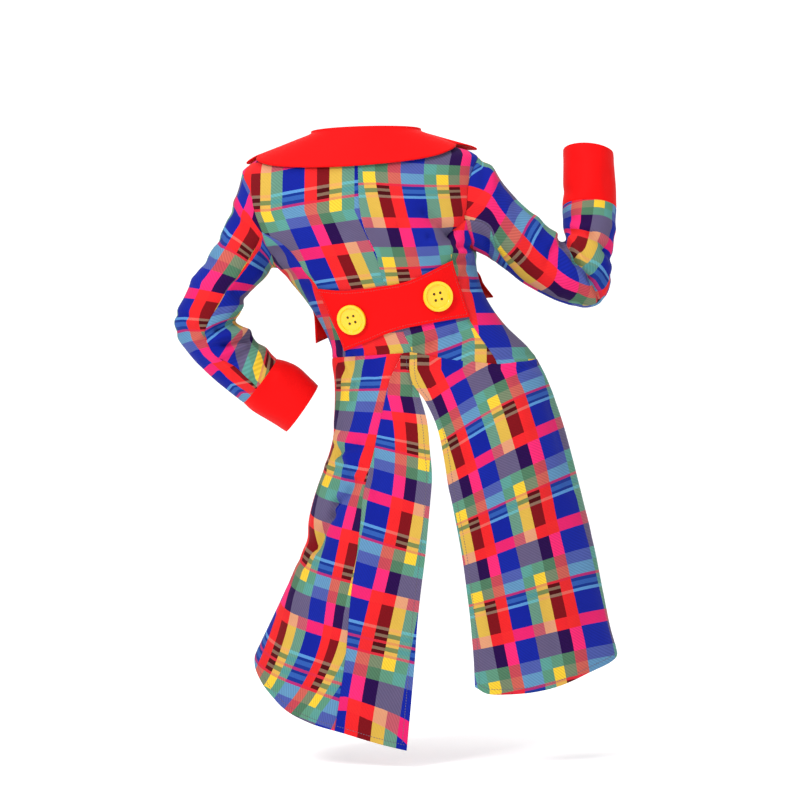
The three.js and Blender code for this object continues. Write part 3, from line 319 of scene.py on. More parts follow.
# Where the check's stripes show on each piece, by the q of the stripe across or None beside it: mm
# across and up as the picture has them, then p where a stripe down was read there too
MARKS = {
    "back_left": {
        None: ((-105, -140, 116.5), (-68, -140, 80), (-48, -140, 60), (-26, -140, 40), (12, -140, 0),
            (-32, -214, 80), (-10, -214, 60), (8, -214, 40), (26, -214, 20), (-22, -330, 116.5),
            (15, -330, 80), (35, -330, 60), (56, -330, 40), (78, -330, 20)),
        463: ((-142, -120), (-92, -116), (-31, -99)),
        443.5: ((-106, -131), (-69, -124)),
        406: ((-91, -165), (-59, -159)),
        386: ((-87, -182), (-51, -176)),
        349: ((-66, -215), (-38, -211), (7, -206)),
    },
    "back_right": {
        None: ((36, -66, 40), (52, -66, 60), (71, -66, 80), (112, -66, 116.5), (132, -66, 136.5),
            (152, -66, 156.5), (170, -66, 176.5), (119, -8, 116.5), (158, -8, 156.5), (178, -8, 176.5),
            (44, -170, 20), (66, -170, 40), (50, -219, 20), (68, -219, 40), (68, -190, 40), (87, -190, 60),
            (106, -190, 80), (90, -302, 40), (110, -302, 60), (129, -300, 80), (175, -302, 116.5)),
        282.5: ((91, -18),),
        302: ((91, -36), (140, -43)),
        322: ((91, -56),),
        326: ((91, -62),),
        349: ((91, -82),),
        386: ((79, -116), (112, -111)),
        406: ((81, -133), (122, -128)),
        463: ((54, -170),),
        496: ((58, -203),),
        604.5: ((99, -302), (119, -300)),
        624: ((148, -309), (188, -290)),
    },
    "side_left": {
        302: ((-140, -148),),
        282.5: ((-128, -166),),
        245: ((-118, -192),),
        225: ((-107, -206),),
        188: ((-74, -243),),
        165: ((-63, -276),),
        141: ((-48, -302),),
        121.5: ((-37, -315),),
        None: ((-83, -223, 80), (-51, -267, 80)),
    },
    "side_right": {
        121.5: ((188, -170),),
        141: ((188, -188),),
        161: ((186, -210),),
        165: ((188, -219),),
        188: ((191, -241),),
        225: ((210, -267),),
        245: ((210, -277),),
        None: ((184, -243, 80), (188, -280, 80), (203, -222, 116.5), (218, -262, 116.5)),
    },
    "tail_left_back": {
        406: ((58, -437, 80), (79, -437, 60), (97, -438, 40)),
        386: ((60, -448, 80), (79, -448, 60)),
        349: ((62, -467, 80),),
        326: ((64, -488, 80),),
        322: ((66, -493, 80),),
        302: ((66, -518, 80), (102, -526, 40), (119, -529, 20)),
        282.5: ((66, -541, 80), (83, -546, 60), (100, -549, 40)),
        245: ((60, -578, 80), (79, -581, 60), (97, -585, 40)),
        225: ((57, -595, 80),),
        188: ((49, -624, 80),),
        165: ((44, -649, 80),),
        161: ((43, -652, 80),),
        141: ((40, -672, 80), (80, -682, 40), (97, -685, 20)),
        121.5: ((36, -689, 80), (55, -694, 60), (74, -699, 40)),
        84: ((30, -723, 80), (48, -728, 60), (67, -733, 40), (88, -740, 20)),
        64: ((24, -741, 80),),
        27: ((15, -780, 80),),
        -22: ((2, -823, 80),),
        -42: ((-2, -847, 80), (44, -860, 40), (66, -865, 20)),
        -61.5: ((-5, -867, 80), (17, -873, 60), (38, -879, 40)),
        -99: ((-12, -905, 80), (11, -910, 60), (33, -917, 40), (55, -924, 20)),
        -119: ((-15, -924, 80),),
        443.5: ((75, -409, 60), (95, -409, 40)),
        None: ((80, -892, 0), (74, -954, 0), (69, -988, 0), (102, -766, 0), (97, -792, 0)),
    },
    "tail_left_side": {
        510: ((43, -376, 80), (9, -377, 116.5)),
        487: ((38, -390, 80),),
        463: ((33, -412, 80),),
        443.5: ((27, -432, 80), (-4, -432, 116.5)),
        406: ((18, -471, 80),),
        386: ((16, -489, 80),),
        349: ((18, -526, 80),),
        None: ((54, -344, 80), (71, -342, 60), (63, -374, 60), (15, -345, 116.5), (-4, -451, 116.5),
            (-108, -718, 196.5), (-114, -750, 196.5)),
        282.5: ((-36, -580, 116.5), (-6, -587, 80)),
        245: ((-44, -614, 116.5), (-12, -625, 80)),
        225: ((-45, -636, 116.5), (-16, -643, 80)),
        188: ((-55, -674, 116.5), (-20, -683, 80)),
        161: ((-59, -699, 116.5), (-24, -707, 80)),
        141: ((-59, -718, 116.5), (-28, -727, 80), (-82, -708, 156.5), (-72, -712, 136.5)),
        121.5: ((-59, -739, 116.5), (-29, -748, 80), (-96, -722, 176.5), (-85, -728, 156.5)),
        84: ((-64, -774, 116.5), (-31, -784, 80), (-103, -757, 176.5), (-90, -762, 156.5)),
        64: ((-66, -794, 116.5), (-33, -801, 80), (-119, -770, 196.5)),
        27: ((-71, -831, 116.5), (-37, -841, 80), (-124, -808, 196.5)),
        -22: ((-77, -880, 116.5), (-43, -888, 80), (-134, -851, 196.5)),
        -42: ((-79, -898, 116.5), (-46, -906, 80), (-106, -886, 156.5), (-94, -891, 136.5),
            (-138, -871, 196.5)),
        -61.5: ((-82, -918, 116.5), (-49, -926, 80), (-125, -898, 176.5), (-111, -905, 156.5)),
    },
    "tail_right": {
        64: ((146, -376, 80), (181, -361, 116.5)),
        121.5: ((167, -422, 80), (199, -404, 116.5)),
        161: ((181, -457, 80), (211, -438, 116.5)),
        225: ((196, -509, 80), (227, -494, 116.5)),
        282.5: ((209, -558, 80), (239, -543, 116.5), (272, -525, 156.5), (289, -517, 176.5)),
        322: ((216, -593, 80), (249, -579, 116.5)),
        386: ((226, -649, 80), (261, -635, 116.5)),
        443.5: ((237, -698, 80), (273, -687, 116.5)),
        483: ((246, -735, 80), (281, -724, 116.5)),
        547: ((256, -792, 80), (292, -784, 116.5)),
        604.5: ((268, -849, 80), (305, -841, 116.5)),
        644: ((278, -888, 80), (316, -880, 116.5)),
        188: ((282, -423, 196.5), (317, -408, 233)),
        245: ((299, -475, 196.5), (334, -460, 233), (170, -543, 40), (185, -537, 60)),
        302: ((315, -526, 196.5), (348, -515, 233), (259, -553, 136.5), (277, -544, 156.5),
            (167, -596, 20), (181, -591, 40)),
        349: ((325, -573, 196.5), (363, -560, 233)),
        406: ((341, -629, 196.5), (379, -618, 233), (300, -642, 156.5), (319, -635, 176.5),
            (200, -681, 40), (214, -674, 60)),
        463: ((355, -684, 196.5), (391, -674, 233)),
        510: ((365, -728, 196.5), (400, -719, 233)),
        567: ((377, -785, 196.5), (412, -777, 233), (337, -795, 156.5), (354, -791, 176.5),
            (229, -821, 40), (245, -816, 60)),
        624: ((388, -842, 196.5), (429, -830, 233), (328, -856, 136.5), (347, -851, 156.5),
            (222, -877, 20), (238, -874, 40)),
        84: ((123, -410, 40), (137, -402, 60)),
    },
    "sleeve_left_top": {
        443.5: ((-218, -202, 60), (-200, -208, 40), (-238, -197, 80)),
        406: ((-237, -230, 60), (-218, -238, 40), (-254, -228, 80)),
        386: ((-246, -250, 60), (-226, -256, 40), (-266, -245, 80)),
        349: ((-261, -283, 60), (-280, -279, 80)),
        463: ((-231, -183, 80),),
        483: ((-219, -165, 80),),
        510: ((-203, -146, 80),),
        547: ((-189, -114, 80),),
        567: ((-186, -96, 80),),
        None: ((-156, -140, 40), (-173, -118, 60), (-188, -151, 60), (-200, -170, 60)),
        245: ((-241, -351, 80),),
        225: ((-228, -363, 80),),
        188: ((-198, -386, 80), (-182, -381, 60)),
        165: ((-182, -399, 80),),
    },
    "sleeve_left_under": {
        None: ((-153, -144, 80), (-185, -194, 80), (-218, -240, 80), (-234, -272, 80), (-249, -306, 80),
            (-151, -199, 116.5), (-173, -228, 116.5), (-189, -242, 116.5), (-206, -266, 116.5),
            (-208, -333, 116.5), (-196, -354, 116.5), (-174, -333, 136.5), (-172, -356, 136.5),
            (-153, -353, 156.5)),
        4: ((-148, -180),),
        27: ((-161, -190),),
        64: ((-183, -219),),
        84: ((-196, -235),),
        121.5: ((-218, -257),),
        141: ((-227, -273),),
        161: ((-237, -291),),
        188: ((-243, -322),),
        245: ((-206, -325),),
        282.5: ((-182, -347),),
        302: ((-172, -356),),
        322: ((-155, -365),),
    },
    "sleeve_right_top": {
        225: ((207, -62, 80), (228, -38, 116.5)),
        245: ((222, -78, 80), (234, -56, 116.5), (212, -95, 60), (200, -109, 40)),
        282.5: ((247, -103, 80), (262, -82, 116.5), (234, -121, 60), (224, -134, 40)),
        302: ((258, -119, 80), (271, -93, 116.5)),
        322: ((272, -132, 80), (289, -109, 116.5)),
        349: ((289, -154, 80), (307, -130, 116.5), (278, -173, 60)),
        386: ((312, -176, 80), (322, -147, 116.5), (303, -199, 60), (291, -209, 40)),
        406: ((324, -194, 80), (335, -163, 116.5), (316, -214, 60), (305, -224, 40), (330, -172)),
        443.5: ((351, -217, 80), (361, -183, 116.5), (344, -232, 60), (336, -241, 40), (359, -199)),
        463: ((370, -223, 80), (376, -198, 116.5), (373, -212)),
        None: ((386, -190, 136.5), (364, -185, 116.5), (352, -169, 116.5), (376, -252, 60)),
        483: ((389, -231, 80),),
    },
    "sleeve_right_fore": {
        None: ((356, -86, 80), (354, -116, 80), (352, -132, 80), (373, -85, 60), (371, -108, 60),
            (367, -132, 60), (361, -152, 60), (393, -79, 40), (393, -108, 40), (387, -124, 40),
            (389, -139, 40), (377, -158, 40), (370, -175, 40), (411, -79, 20), (411, -98, 20),
            (405, -151, 20), (393, -170, 20), (381, -189, 20), (425, -85, 0), (412, -173, 0),
            (399, -201, 0)),
        463: ((383, -97), (402, -99)),
        443.5: ((381, -109), (399, -111)),
        406: ((376, -134), (387, -136), (410, -147)),
        386: ((389, -141), (402, -153), (412, -173)),
        349: ((367, -176), (381, -189), (396, -203), (414, -229)),
        326: ((390, -210), (401, -240)),
    },
}


class Side(Enum):
    """The wearer's side as the picture shows it."""

    LEFT = "left"
    RIGHT = "right"


def mix(a: Array | float, b: Array | float, t: Array | float) -> Array | float:
    """A value between a and b."""
    return a + (b - a) * t


def smooth(t: Array) -> Array:
    """An even rise from 0 to 1."""
    t = np.clip(t, 0, 1)
    return t * t * (3 - 2 * t)


def unit(v: Array) -> Array:
    """Vectors of length 1 in the same directions."""
    return v / np.maximum(np.linalg.norm(v, axis=-1, keepdims=True), 1e-9)


def curve(table: Table, column: int = 1) -> Line:
    """A smooth curve through a table's rows.

    Args:
        table: rows whose first column is the place along the curve.
        column: the column that gives the value.

    Returns:
        A function from places to values.
    """
    x = np.array([row[0] for row in table], float)
    y = np.array([row[column] for row in table], float)
    ahead = np.minimum(np.arange(len(x)) + 1, len(x) - 1)
    behind = np.maximum(np.arange(len(x)) - 1, 0)
    slope = (y[ahead] - y[behind]) / (x[ahead] - x[behind])

    def value(at: Array) -> Array:
        """The value at each place.

        Args:
            at: where it is read.

        Returns:
            The values there.
        """
        place = np.clip(np.asarray(at, float), x[0], x[-1])
        i = np.clip(np.searchsorted(x, place, side="left") - 1, 0, len(x) - 2)
        h = x[i + 1] - x[i]
        t = (place - x[i]) / h
        s = 1 - t
        return (
            y[i] * (1 + 2 * t) * s * s
            + y[i + 1] * t * t * (3 - 2 * t)
            + h * (slope[i] * t * s * s - slope[i + 1] * t * t * s)
        )

    return value


def between_rows(table: Array, place: Array) -> Array:
    """Smooth values between the rows of a table.

    Args:
        table: rows along the first axis, of any shape behind it that fits place.
        place: row numbers, whole or between.

    Returns:
        The rows at those places.
    """
    at = np.clip(place, 0, len(table) - 1 - 1e-9)
    i = np.floor(at).astype(int)
    f = (at - i)[..., None]
    if table.ndim == 2:
        p, q, r, s = (table[np.clip(i + k, 0, len(table) - 1)] for k in (-1, 0, 1, 2))
    else:
        grid = np.indices(i.shape)
        p, q, r, s = (table[(np.clip(i + k, 0, len(table) - 1), *grid)] for k in (-1, 0, 1, 2))
    return 0.5 * (
        2 * q
        + (r - p) * f
        + (2 * p - 5 * q + 4 * r - s) * f**2
        + (3 * q - p - 3 * r + s) * f**3
    )


def power(x: Array, n: Array) -> Array:
    """A signed power that turns a circle into a fuller outline."""
    return np.sign(x) * np.abs(x) ** (2 / n)


def creased(x: Array, z: Array, creases: Table) -> Array:
    """How far creases push a surface inwards at points of the picture's plane.

    Args:
        x: places across.
        z: heights.
        creases: rows of x1, z1, x2, z2, depth and width; a depth below 0 is a ridge.

    Returns:
        The push at each point, in mm.
    """
    push = np.zeros(np.shape(x))
    for x1, z1, x2, z2, depth, width in creases:
        dx, dz = x2 - x1, z2 - z1
        raw = ((x - x1) * dx + (z - z1) * dz) / (dx * dx + dz * dz)
        t = np.clip(raw, 0, 1)
        away = np.hypot(x - x1 - t * dx, z - z1 - t * dz)
        push += depth * np.exp(-((away / width) ** 2))
    return push


class BodyForm:
    """The rounded, leaning body that every panel lies on."""

    rows = np.array([row[1:] for row in BODY], float)

    def bare(self, turn: Array, down: Array) -> Array:
        """Points of the plain body.

        Args:
            turn: degrees round, with 0 at the middle of the back and 90 at the right edge.
            down: rows from the neck to the hem.

        Returns:
            The points, in mm.
        """
        turn, down = np.broadcast_arrays(np.asarray(turn, float), np.asarray(down, float))
        left_x, left_z, right_x, right_z, back, front, n = np.moveaxis(
            between_rows(self.rows, down), -1, 0
        )
        across = (power(np.sin(np.radians(turn)), n) + 1) / 2
        deep = power(np.cos(np.radians(turn)), n)
        return np.stack(
            [
                mix(left_x, right_x, across),
                -deep * np.where(deep > 0, back, front),
                mix(left_z, right_z, across),
            ],
            -1,
        )

    def normal(self, turn: Array, down: Array) -> Array:
        """The outward directions of the plain body.

        Args:
            turn: degrees round.
            down: rows from the neck.

        Returns:
            Directions of length 1.
        """
        safe = np.clip(down, STEP, len(BODY) - 1 - STEP)
        round_way = self.bare(turn + 0.05, safe) - self.bare(turn - 0.05, safe)
        down_way = self.bare(turn, safe + STEP) - self.bare(turn, safe - STEP)
        return -unit(np.cross(round_way, down_way))

    def surface(self, turn: Array, down: Array, out: Array | float = 0.0, fine: bool = True) -> Array:
        """Points of the folded cloth, moved outwards.

        Args:
            turn: degrees round.
            down: rows from the neck.
            out: distance outwards, in mm.
            fine: whether the small creases are added to the large folds.

        Returns:
            The points, in mm.
        """
        turn, down = np.broadcast_arrays(np.asarray(turn, float), np.asarray(down, float))
        p = self.bare(turn, down)
        facing = np.clip((110 - np.abs(turn)) / 30, 0, 1)
        push = -creased(p[..., 0], p[..., 2], FOLDS) * facing
        if fine:
            hidden = 1 - facing
            push -= CREASE_GAIN * creased(p[..., 0], p[..., 2], CREASES) * facing
            push -= CREASE_GAIN * creased(p[..., 0], p[..., 2], FRONT_CREASES) * hidden
        return p + self.normal(turn, down) * (push + out)[..., None]

    def gap(self, turn: Array, down: Array, distance: float) -> Array:
        """The degrees that make up a small distance round the body."""
        pace = np.linalg.norm(self.bare(turn + 0.1, down) - self.bare(turn - 0.1, down), axis=-1)
        return 0.2 * distance / np.maximum(pace, 1e-3)


BODY_FORM = BodyForm()
LINE = {name: curve(table) for name, table in LINES.items()}
HEM = {name: curve(table) for name, table in HEMS.items()}
SHOULDER = {Side.LEFT: LINES["armholeLeft"][0][0], Side.RIGHT: LINES["armholeRight"][0][0]}
PRINCESS = {Side.LEFT: LINES["princessLeft"][0][0], Side.RIGHT: LINES["princessRight"][0][0]}
ARMPIT = {Side.LEFT: LINES["armholeLeft"][-1][0], Side.RIGHT: LINES["armholeRight"][-1][0]}


def outer_line(shoulder: float, seam_start: float, edge: float, hole: Line, seam: Line) -> Line:
    """The outer line of a back or front: shoulder seam, armhole, then the seam below it.

    Args:
        shoulder: the row where the armhole starts.
        seam_start: the row where the seam below it starts.
        edge: the turn of the shoulder seam.
        hole: the armhole's line.
        seam: the seam's line.

    Returns:
        The line.
    """

    def line(row: Array) -> Array:
        """The turn at each row."""
        row = np.asarray(row, float)
        return np.where(row < shoulder, edge, np.where(row < seam_start, hole(row), seam(row)))

    return line


def mirrored(line: Line, middle: float) -> Line:
    """A line turned over to the other side of a middle turn."""
    return lambda row: 2 * middle - line(row)


def outer_lines() -> dict[str, Line]:
    """The outer lines of the backs and fronts.

    Returns:
        The lines by piece.
    """
    lines = {}
    for side, middle in ((Side.LEFT, -90), (Side.RIGHT, 90)):
        title = side.value.title()
        hole = LINE[f"armhole{title}"]
        start = (SHOULDER[side], PRINCESS[side], middle)
        lines[f"back_{side.value}"] = outer_line(*start, hole, LINE[f"princess{title}"])
        lines[f"front_{side.value}"] = outer_line(*start, mirrored(hole, middle), LINE[f"side{title}"])
    return lines


OUTER = outer_lines()


def edge_along(left: Line, right: Line, edge: Line) -> Line:
    """The row where a panel's own line at a share meets an edge that is given by turn.

    Args:
        left: the panel's left line.
        right: its right line.
        edge: the edge, as a row for each turn.

    Returns:
        A function from shares across to rows.
    """

    def rows(u: Array) -> Array:
        """The row at each share.

        Args:
            u: shares across.

        Returns:
            The rows.
        """
        row = edge(mix(left(WAIST_ROW), right(WAIST_ROW), u))
        for _ in range(30):
            row = mix(row, edge(mix(left(row), right(row), u)), 0.7)
        return row

    return rows


def under_arm(left: Line, right: Line, hole: Line, first: float, lowest: float, middle: float) -> Line:
    """The lower part of an armhole, as the top of a side panel.

    Args:
        left: the panel's left line.
        right: its right line.
        hole: the armhole's line.
        first: the row where the panel starts.
        lowest: the armpit's row.
        middle: the turn of the armhole's middle.

    Returns:
        A function from shares across to rows.
    """

    def rows(u: Array) -> Array:
        """The row at each share.

        Args:
            u: shares across.

        Returns:
            The rows.
        """
        low = np.full(np.shape(u), first, float)
        high = np.full(np.shape(u), lowest, float)
        for _ in range(40):
            row = (low + high) / 2
            wide = np.abs(hole(row) - middle) > np.abs(mix(left(row), right(row), u) - middle)
            low = np.where(wide, row, low)
            high = np.where(wide, high, row)
        return (low + high) / 2

    return rows


def spaced(length: float) -> Array:
    """Shares from 0 to 1 along a length, closer together beside both ends.

    Args:
        length: the length in mm, over 25.

    Returns:
        The shares, from 0 to 1.
    """
    near = np.array(EDGE_STEPS) / length
    middle = np.linspace(near[-1], 1 - near[-1], round((length - 2 * EDGE_STEPS[-1]) / CELL) + 1)
    return np.concatenate([near[:-1], middle, 1 - near[:-1][::-1]])


def edge_dip(
    u: Array, v: Array, wide: float, tall: float, sides: Sequence[bool], depth: float = 0.8
) -> Array:
    """How far a panel turns in at its sewn edges.

    Args:
        u: shares across.
        v: shares down.
        wide: the panel's width in mm.
        tall: its height in mm.
        sides: whether its left, right, upper and lower edges are sewn.
        depth: the depth of the turn.

    Returns:
        The depth at each point, in mm.
    """
    away = [u * wide, (1 - u) * wide, v * tall, (1 - v) * tall]
    total = np.zeros(np.broadcast(u, v).shape)
    for distance, sewn in zip(away, sides):
        if sewn:
            total = np.maximum(total, depth * np.exp(-((distance / EDGE_ROUND) ** 2)))
    return total


def seen_at(points: Array) -> Array:
    """Where the camera shows points: mm across and up on the plane through the origin.

    Args:
        points: points in mm.

    Returns:
        The place of each in the picture.
    """
    near = -EYE[1] / (points[..., 1] - EYE[1])
    across = EYE[0] + (points[..., 0] - EYE[0]) * near
    return np.stack([across, EYE[2] + (points[..., 2] - EYE[2]) * near], -1)


def flat_marks(marks: Sequence[Sequence[float | None]], points: Array, flat: Array) -> Array:
    """The flat places of marks, each at the nearest of a fine grid of points as the picture shows them.

    Args:
        marks: rows that start with mm across and up in the picture.
        points: the grid's points, in mm.
        flat: their flat places.

    Returns:
        A flat place for each mark.
    """
    seen, flat = seen_at(points).reshape(-1, 2), flat.reshape(-1, 2)
    return np.array([flat[np.argmin(np.sum((seen - row[:2]) ** 2, 1))] for row in marks])


@dataclass(frozen=True)
class Lie:
    """The marks of one piece and the way its cloth runs: p across and q down, 1 or -1."""

    marks: tuple
    way: tuple[int, int]
    ease: float = 0.3  # how firmly the cloth stays undistorted


class Cut:
    """How the check lies on a piece: a smooth map from its flat places to the cloth's p and q."""

    orders = ((0, 0), (1, 0), (0, 1), (2, 0), (1, 1), (0, 2), (3, 0), (2, 1), (1, 2), (0, 3), (0, 4), (1, 3))
    strain = (0.0, 1.0, 3.0, 6.0, 6.0)

    def __init__(self, lie: Lie, at: Array) -> None:
        """Draws the map through the piece's marks, as straight as they allow.

        Args:
            lie: the piece's marks and the way its cloth runs.
            at: the flat places of the marks.
        """
        self.way = lie.way
        self.middle = at.mean(0)
        self.low, self.high = at.min(0) - self.middle, at.max(0) - self.middle
        self.maps = []
        for column, way in enumerate(lie.way):
            known = np.array([row[2 + column] is not None for row in lie.marks])
            values = np.array([row[2 + column] for row in lie.marks if row[2 + column] is not None], float)
            straight = np.zeros(len(self.orders))
            straight[1 + column] = 100.0 * way
            weight = np.array([self.strain[sum(order)] for order in self.orders]) * lie.ease
            terms = self.terms(at[known] - self.middle)
            left = terms.T @ terms + np.diag(weight**2)
            self.maps.append(np.linalg.solve(left, terms.T @ values + weight**2 * straight))

    def terms(self, place: Array) -> Array:
        """The powers of flat places, in hundreds of mm."""
        a, b = place[..., 0] / 100, place[..., 1] / 100
        return np.stack([a**i * b**j for i, j in self.orders], -1)

    def places(self, flat: Array) -> Array:
        """Cloth coordinates of flat places, undistorted beyond the marks.

        Args:
            flat: mm across and down the piece.

        Returns:
            The p and q of each place, in metres.
        """
        place = flat - self.middle
        inside = np.clip(place, self.low, self.high)
        both = [
            self.terms(inside) @ row + way * (place - inside)[..., column]
            for column, (row, way) in enumerate(zip(self.maps, self.way))
        ]
        return np.stack(both, -1) * MM


def flat_places(points: Array, centre: Array) -> Array:
    """The picture-plane places of a panel with its sides laid out flat.

    Args:
        points: a grid of points, rows down and columns across.
        centre: for each grid row, the distance round from the middle of the back to column 0.

    Returns:
        For each point, mm across from X 0 and mm of height.
    """
    steps = np.linalg.norm(np.diff(points, axis=1), axis=-1)
    along = np.concatenate([np.zeros((len(points), 1)), np.cumsum(steps, axis=1)], axis=1)
    return np.stack([centre[:, None] + along, points[..., 2]], -1)


def core(points: Array) -> Array:
    """A point inside the body at the mean height of a grid of points."""
    return np.array([CORE_X, 0.0, points[..., 2].mean()])


def cloth_mesh(name: str, points: Array, uv: Array | None, thick: float = CLOTH, ring: bool = False,
               inside: Array | None = None) -> Piece:
    """A closed wall of cloth over a grid of outer points.

    Args:
        name: the piece's name.
        points: outer points in mm, rows down and columns across.
        uv: cloth places of the points in metres, or None.
        thick: thickness of the wall.
        ring: whether the last column meets the first.
        inside: a point in mm that the outer face looks away from, or None where it is the mean.

    Returns:
        The new object, at the origin.
    """
    rows, wide = points.shape[:2]
    spans = wide if ring else wide - 1
    j, i = np.meshgrid(np.arange(rows - 1), np.arange(spans), indexing="ij")
    k = (i + 1) % wide
    quads = np.stack([j * wide + i, (j + 1) * wide + i, (j + 1) * wide + k, j * wide + k], -1).reshape(-1, 4)
    flat = points.reshape(-1, 3)
    a, b, c = (flat[quads[:, n]] for n in (0, 1, 2))
    normals = np.cross(b - a, c - a)
    middle = points.mean((0, 1)) if inside is None else inside
    if ring:
        middle = points.mean(1)[(quads[:, 0] // wide)]
    if np.sum(normals * (a - middle)) < 0:
        quads = quads[:, ::-1]
    mesh = bpy.data.meshes.new(name)
    mesh.from_pydata((flat * MM).tolist(), [], quads.tolist())
    if uv is not None:
        layer = mesh.uv_layers.new(name="cloth")
        order = np.empty(len(mesh.loops), int)
        mesh.loops.foreach_get("vertex_index", order)
        layer.data.foreach_set("uv", uv.reshape(-1, 2)[order].astype(np.float32).ravel())
    piece = bpy.data.objects.new(name, mesh)
    bpy.context.scene.collection.objects.link(piece)
    solid = piece.modifiers.new("cloth wall", "SOLIDIFY")
    solid.thickness = thick * MM
    solid.offset = -1
    solid.use_even_offset = False
    apply_modifiers(piece)
    for polygon in piece.data.polygons:
        polygon.use_smooth = True
    return piece


def select_only(piece: Piece) -> None:
    """Makes a piece the only selected and active object.

    Args:
        piece: the object.
    """
    bpy.ops.object.select_all(action="DESELECT")
    piece.select_set(True)
    bpy.context.view_layer.objects.active = piece


def apply_modifiers(piece: Piece) -> None:
    """Applies all of a piece's modifiers.

    Args:
        piece: the object.
    """
    select_only(piece)
    for modifier in list(piece.modifiers):
        bpy.ops.object.modifier_apply(modifier=modifier.name)


def measured(points: Array) -> tuple[float, float, float]:
    """The longest width, longest height and area of a grid of points, in metres.

    Args:
        points: the grid, in mm.

    Returns:
        Width, height and area.
    """
    across = np.linalg.norm(np.diff(points, axis=1), axis=-1).sum(1)
    down = np.linalg.norm(np.diff(points, axis=0), axis=-1).sum(0)
    u = np.diff(points, axis=1)[:-1]
    v = np.diff(points, axis=0)[:, :-1]
    area = np.linalg.norm(np.cross(u, v), axis=-1).sum()
    return float(across.max()) * MM, float(down.max()) * MM, float(area) * MM * MM


def lay_out(piece: Piece, points: Array, node: str) -> None:
    """Hangs a finished piece under the root, hides the CAD node that it stands for and logs its cloth size.

    Args:
        piece: the finished piece.
        points: the grid of its outer points, in mm.
        node: the CAD node that it replaces.
    """
    wide, tall, area = measured(points)
    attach(piece, "root")
    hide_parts(node)
    area = min(area, wide * tall)
    LOG.info("%s: cloth %.3f x %.3f m, %.4f m2", piece.name, wide, tall, area)


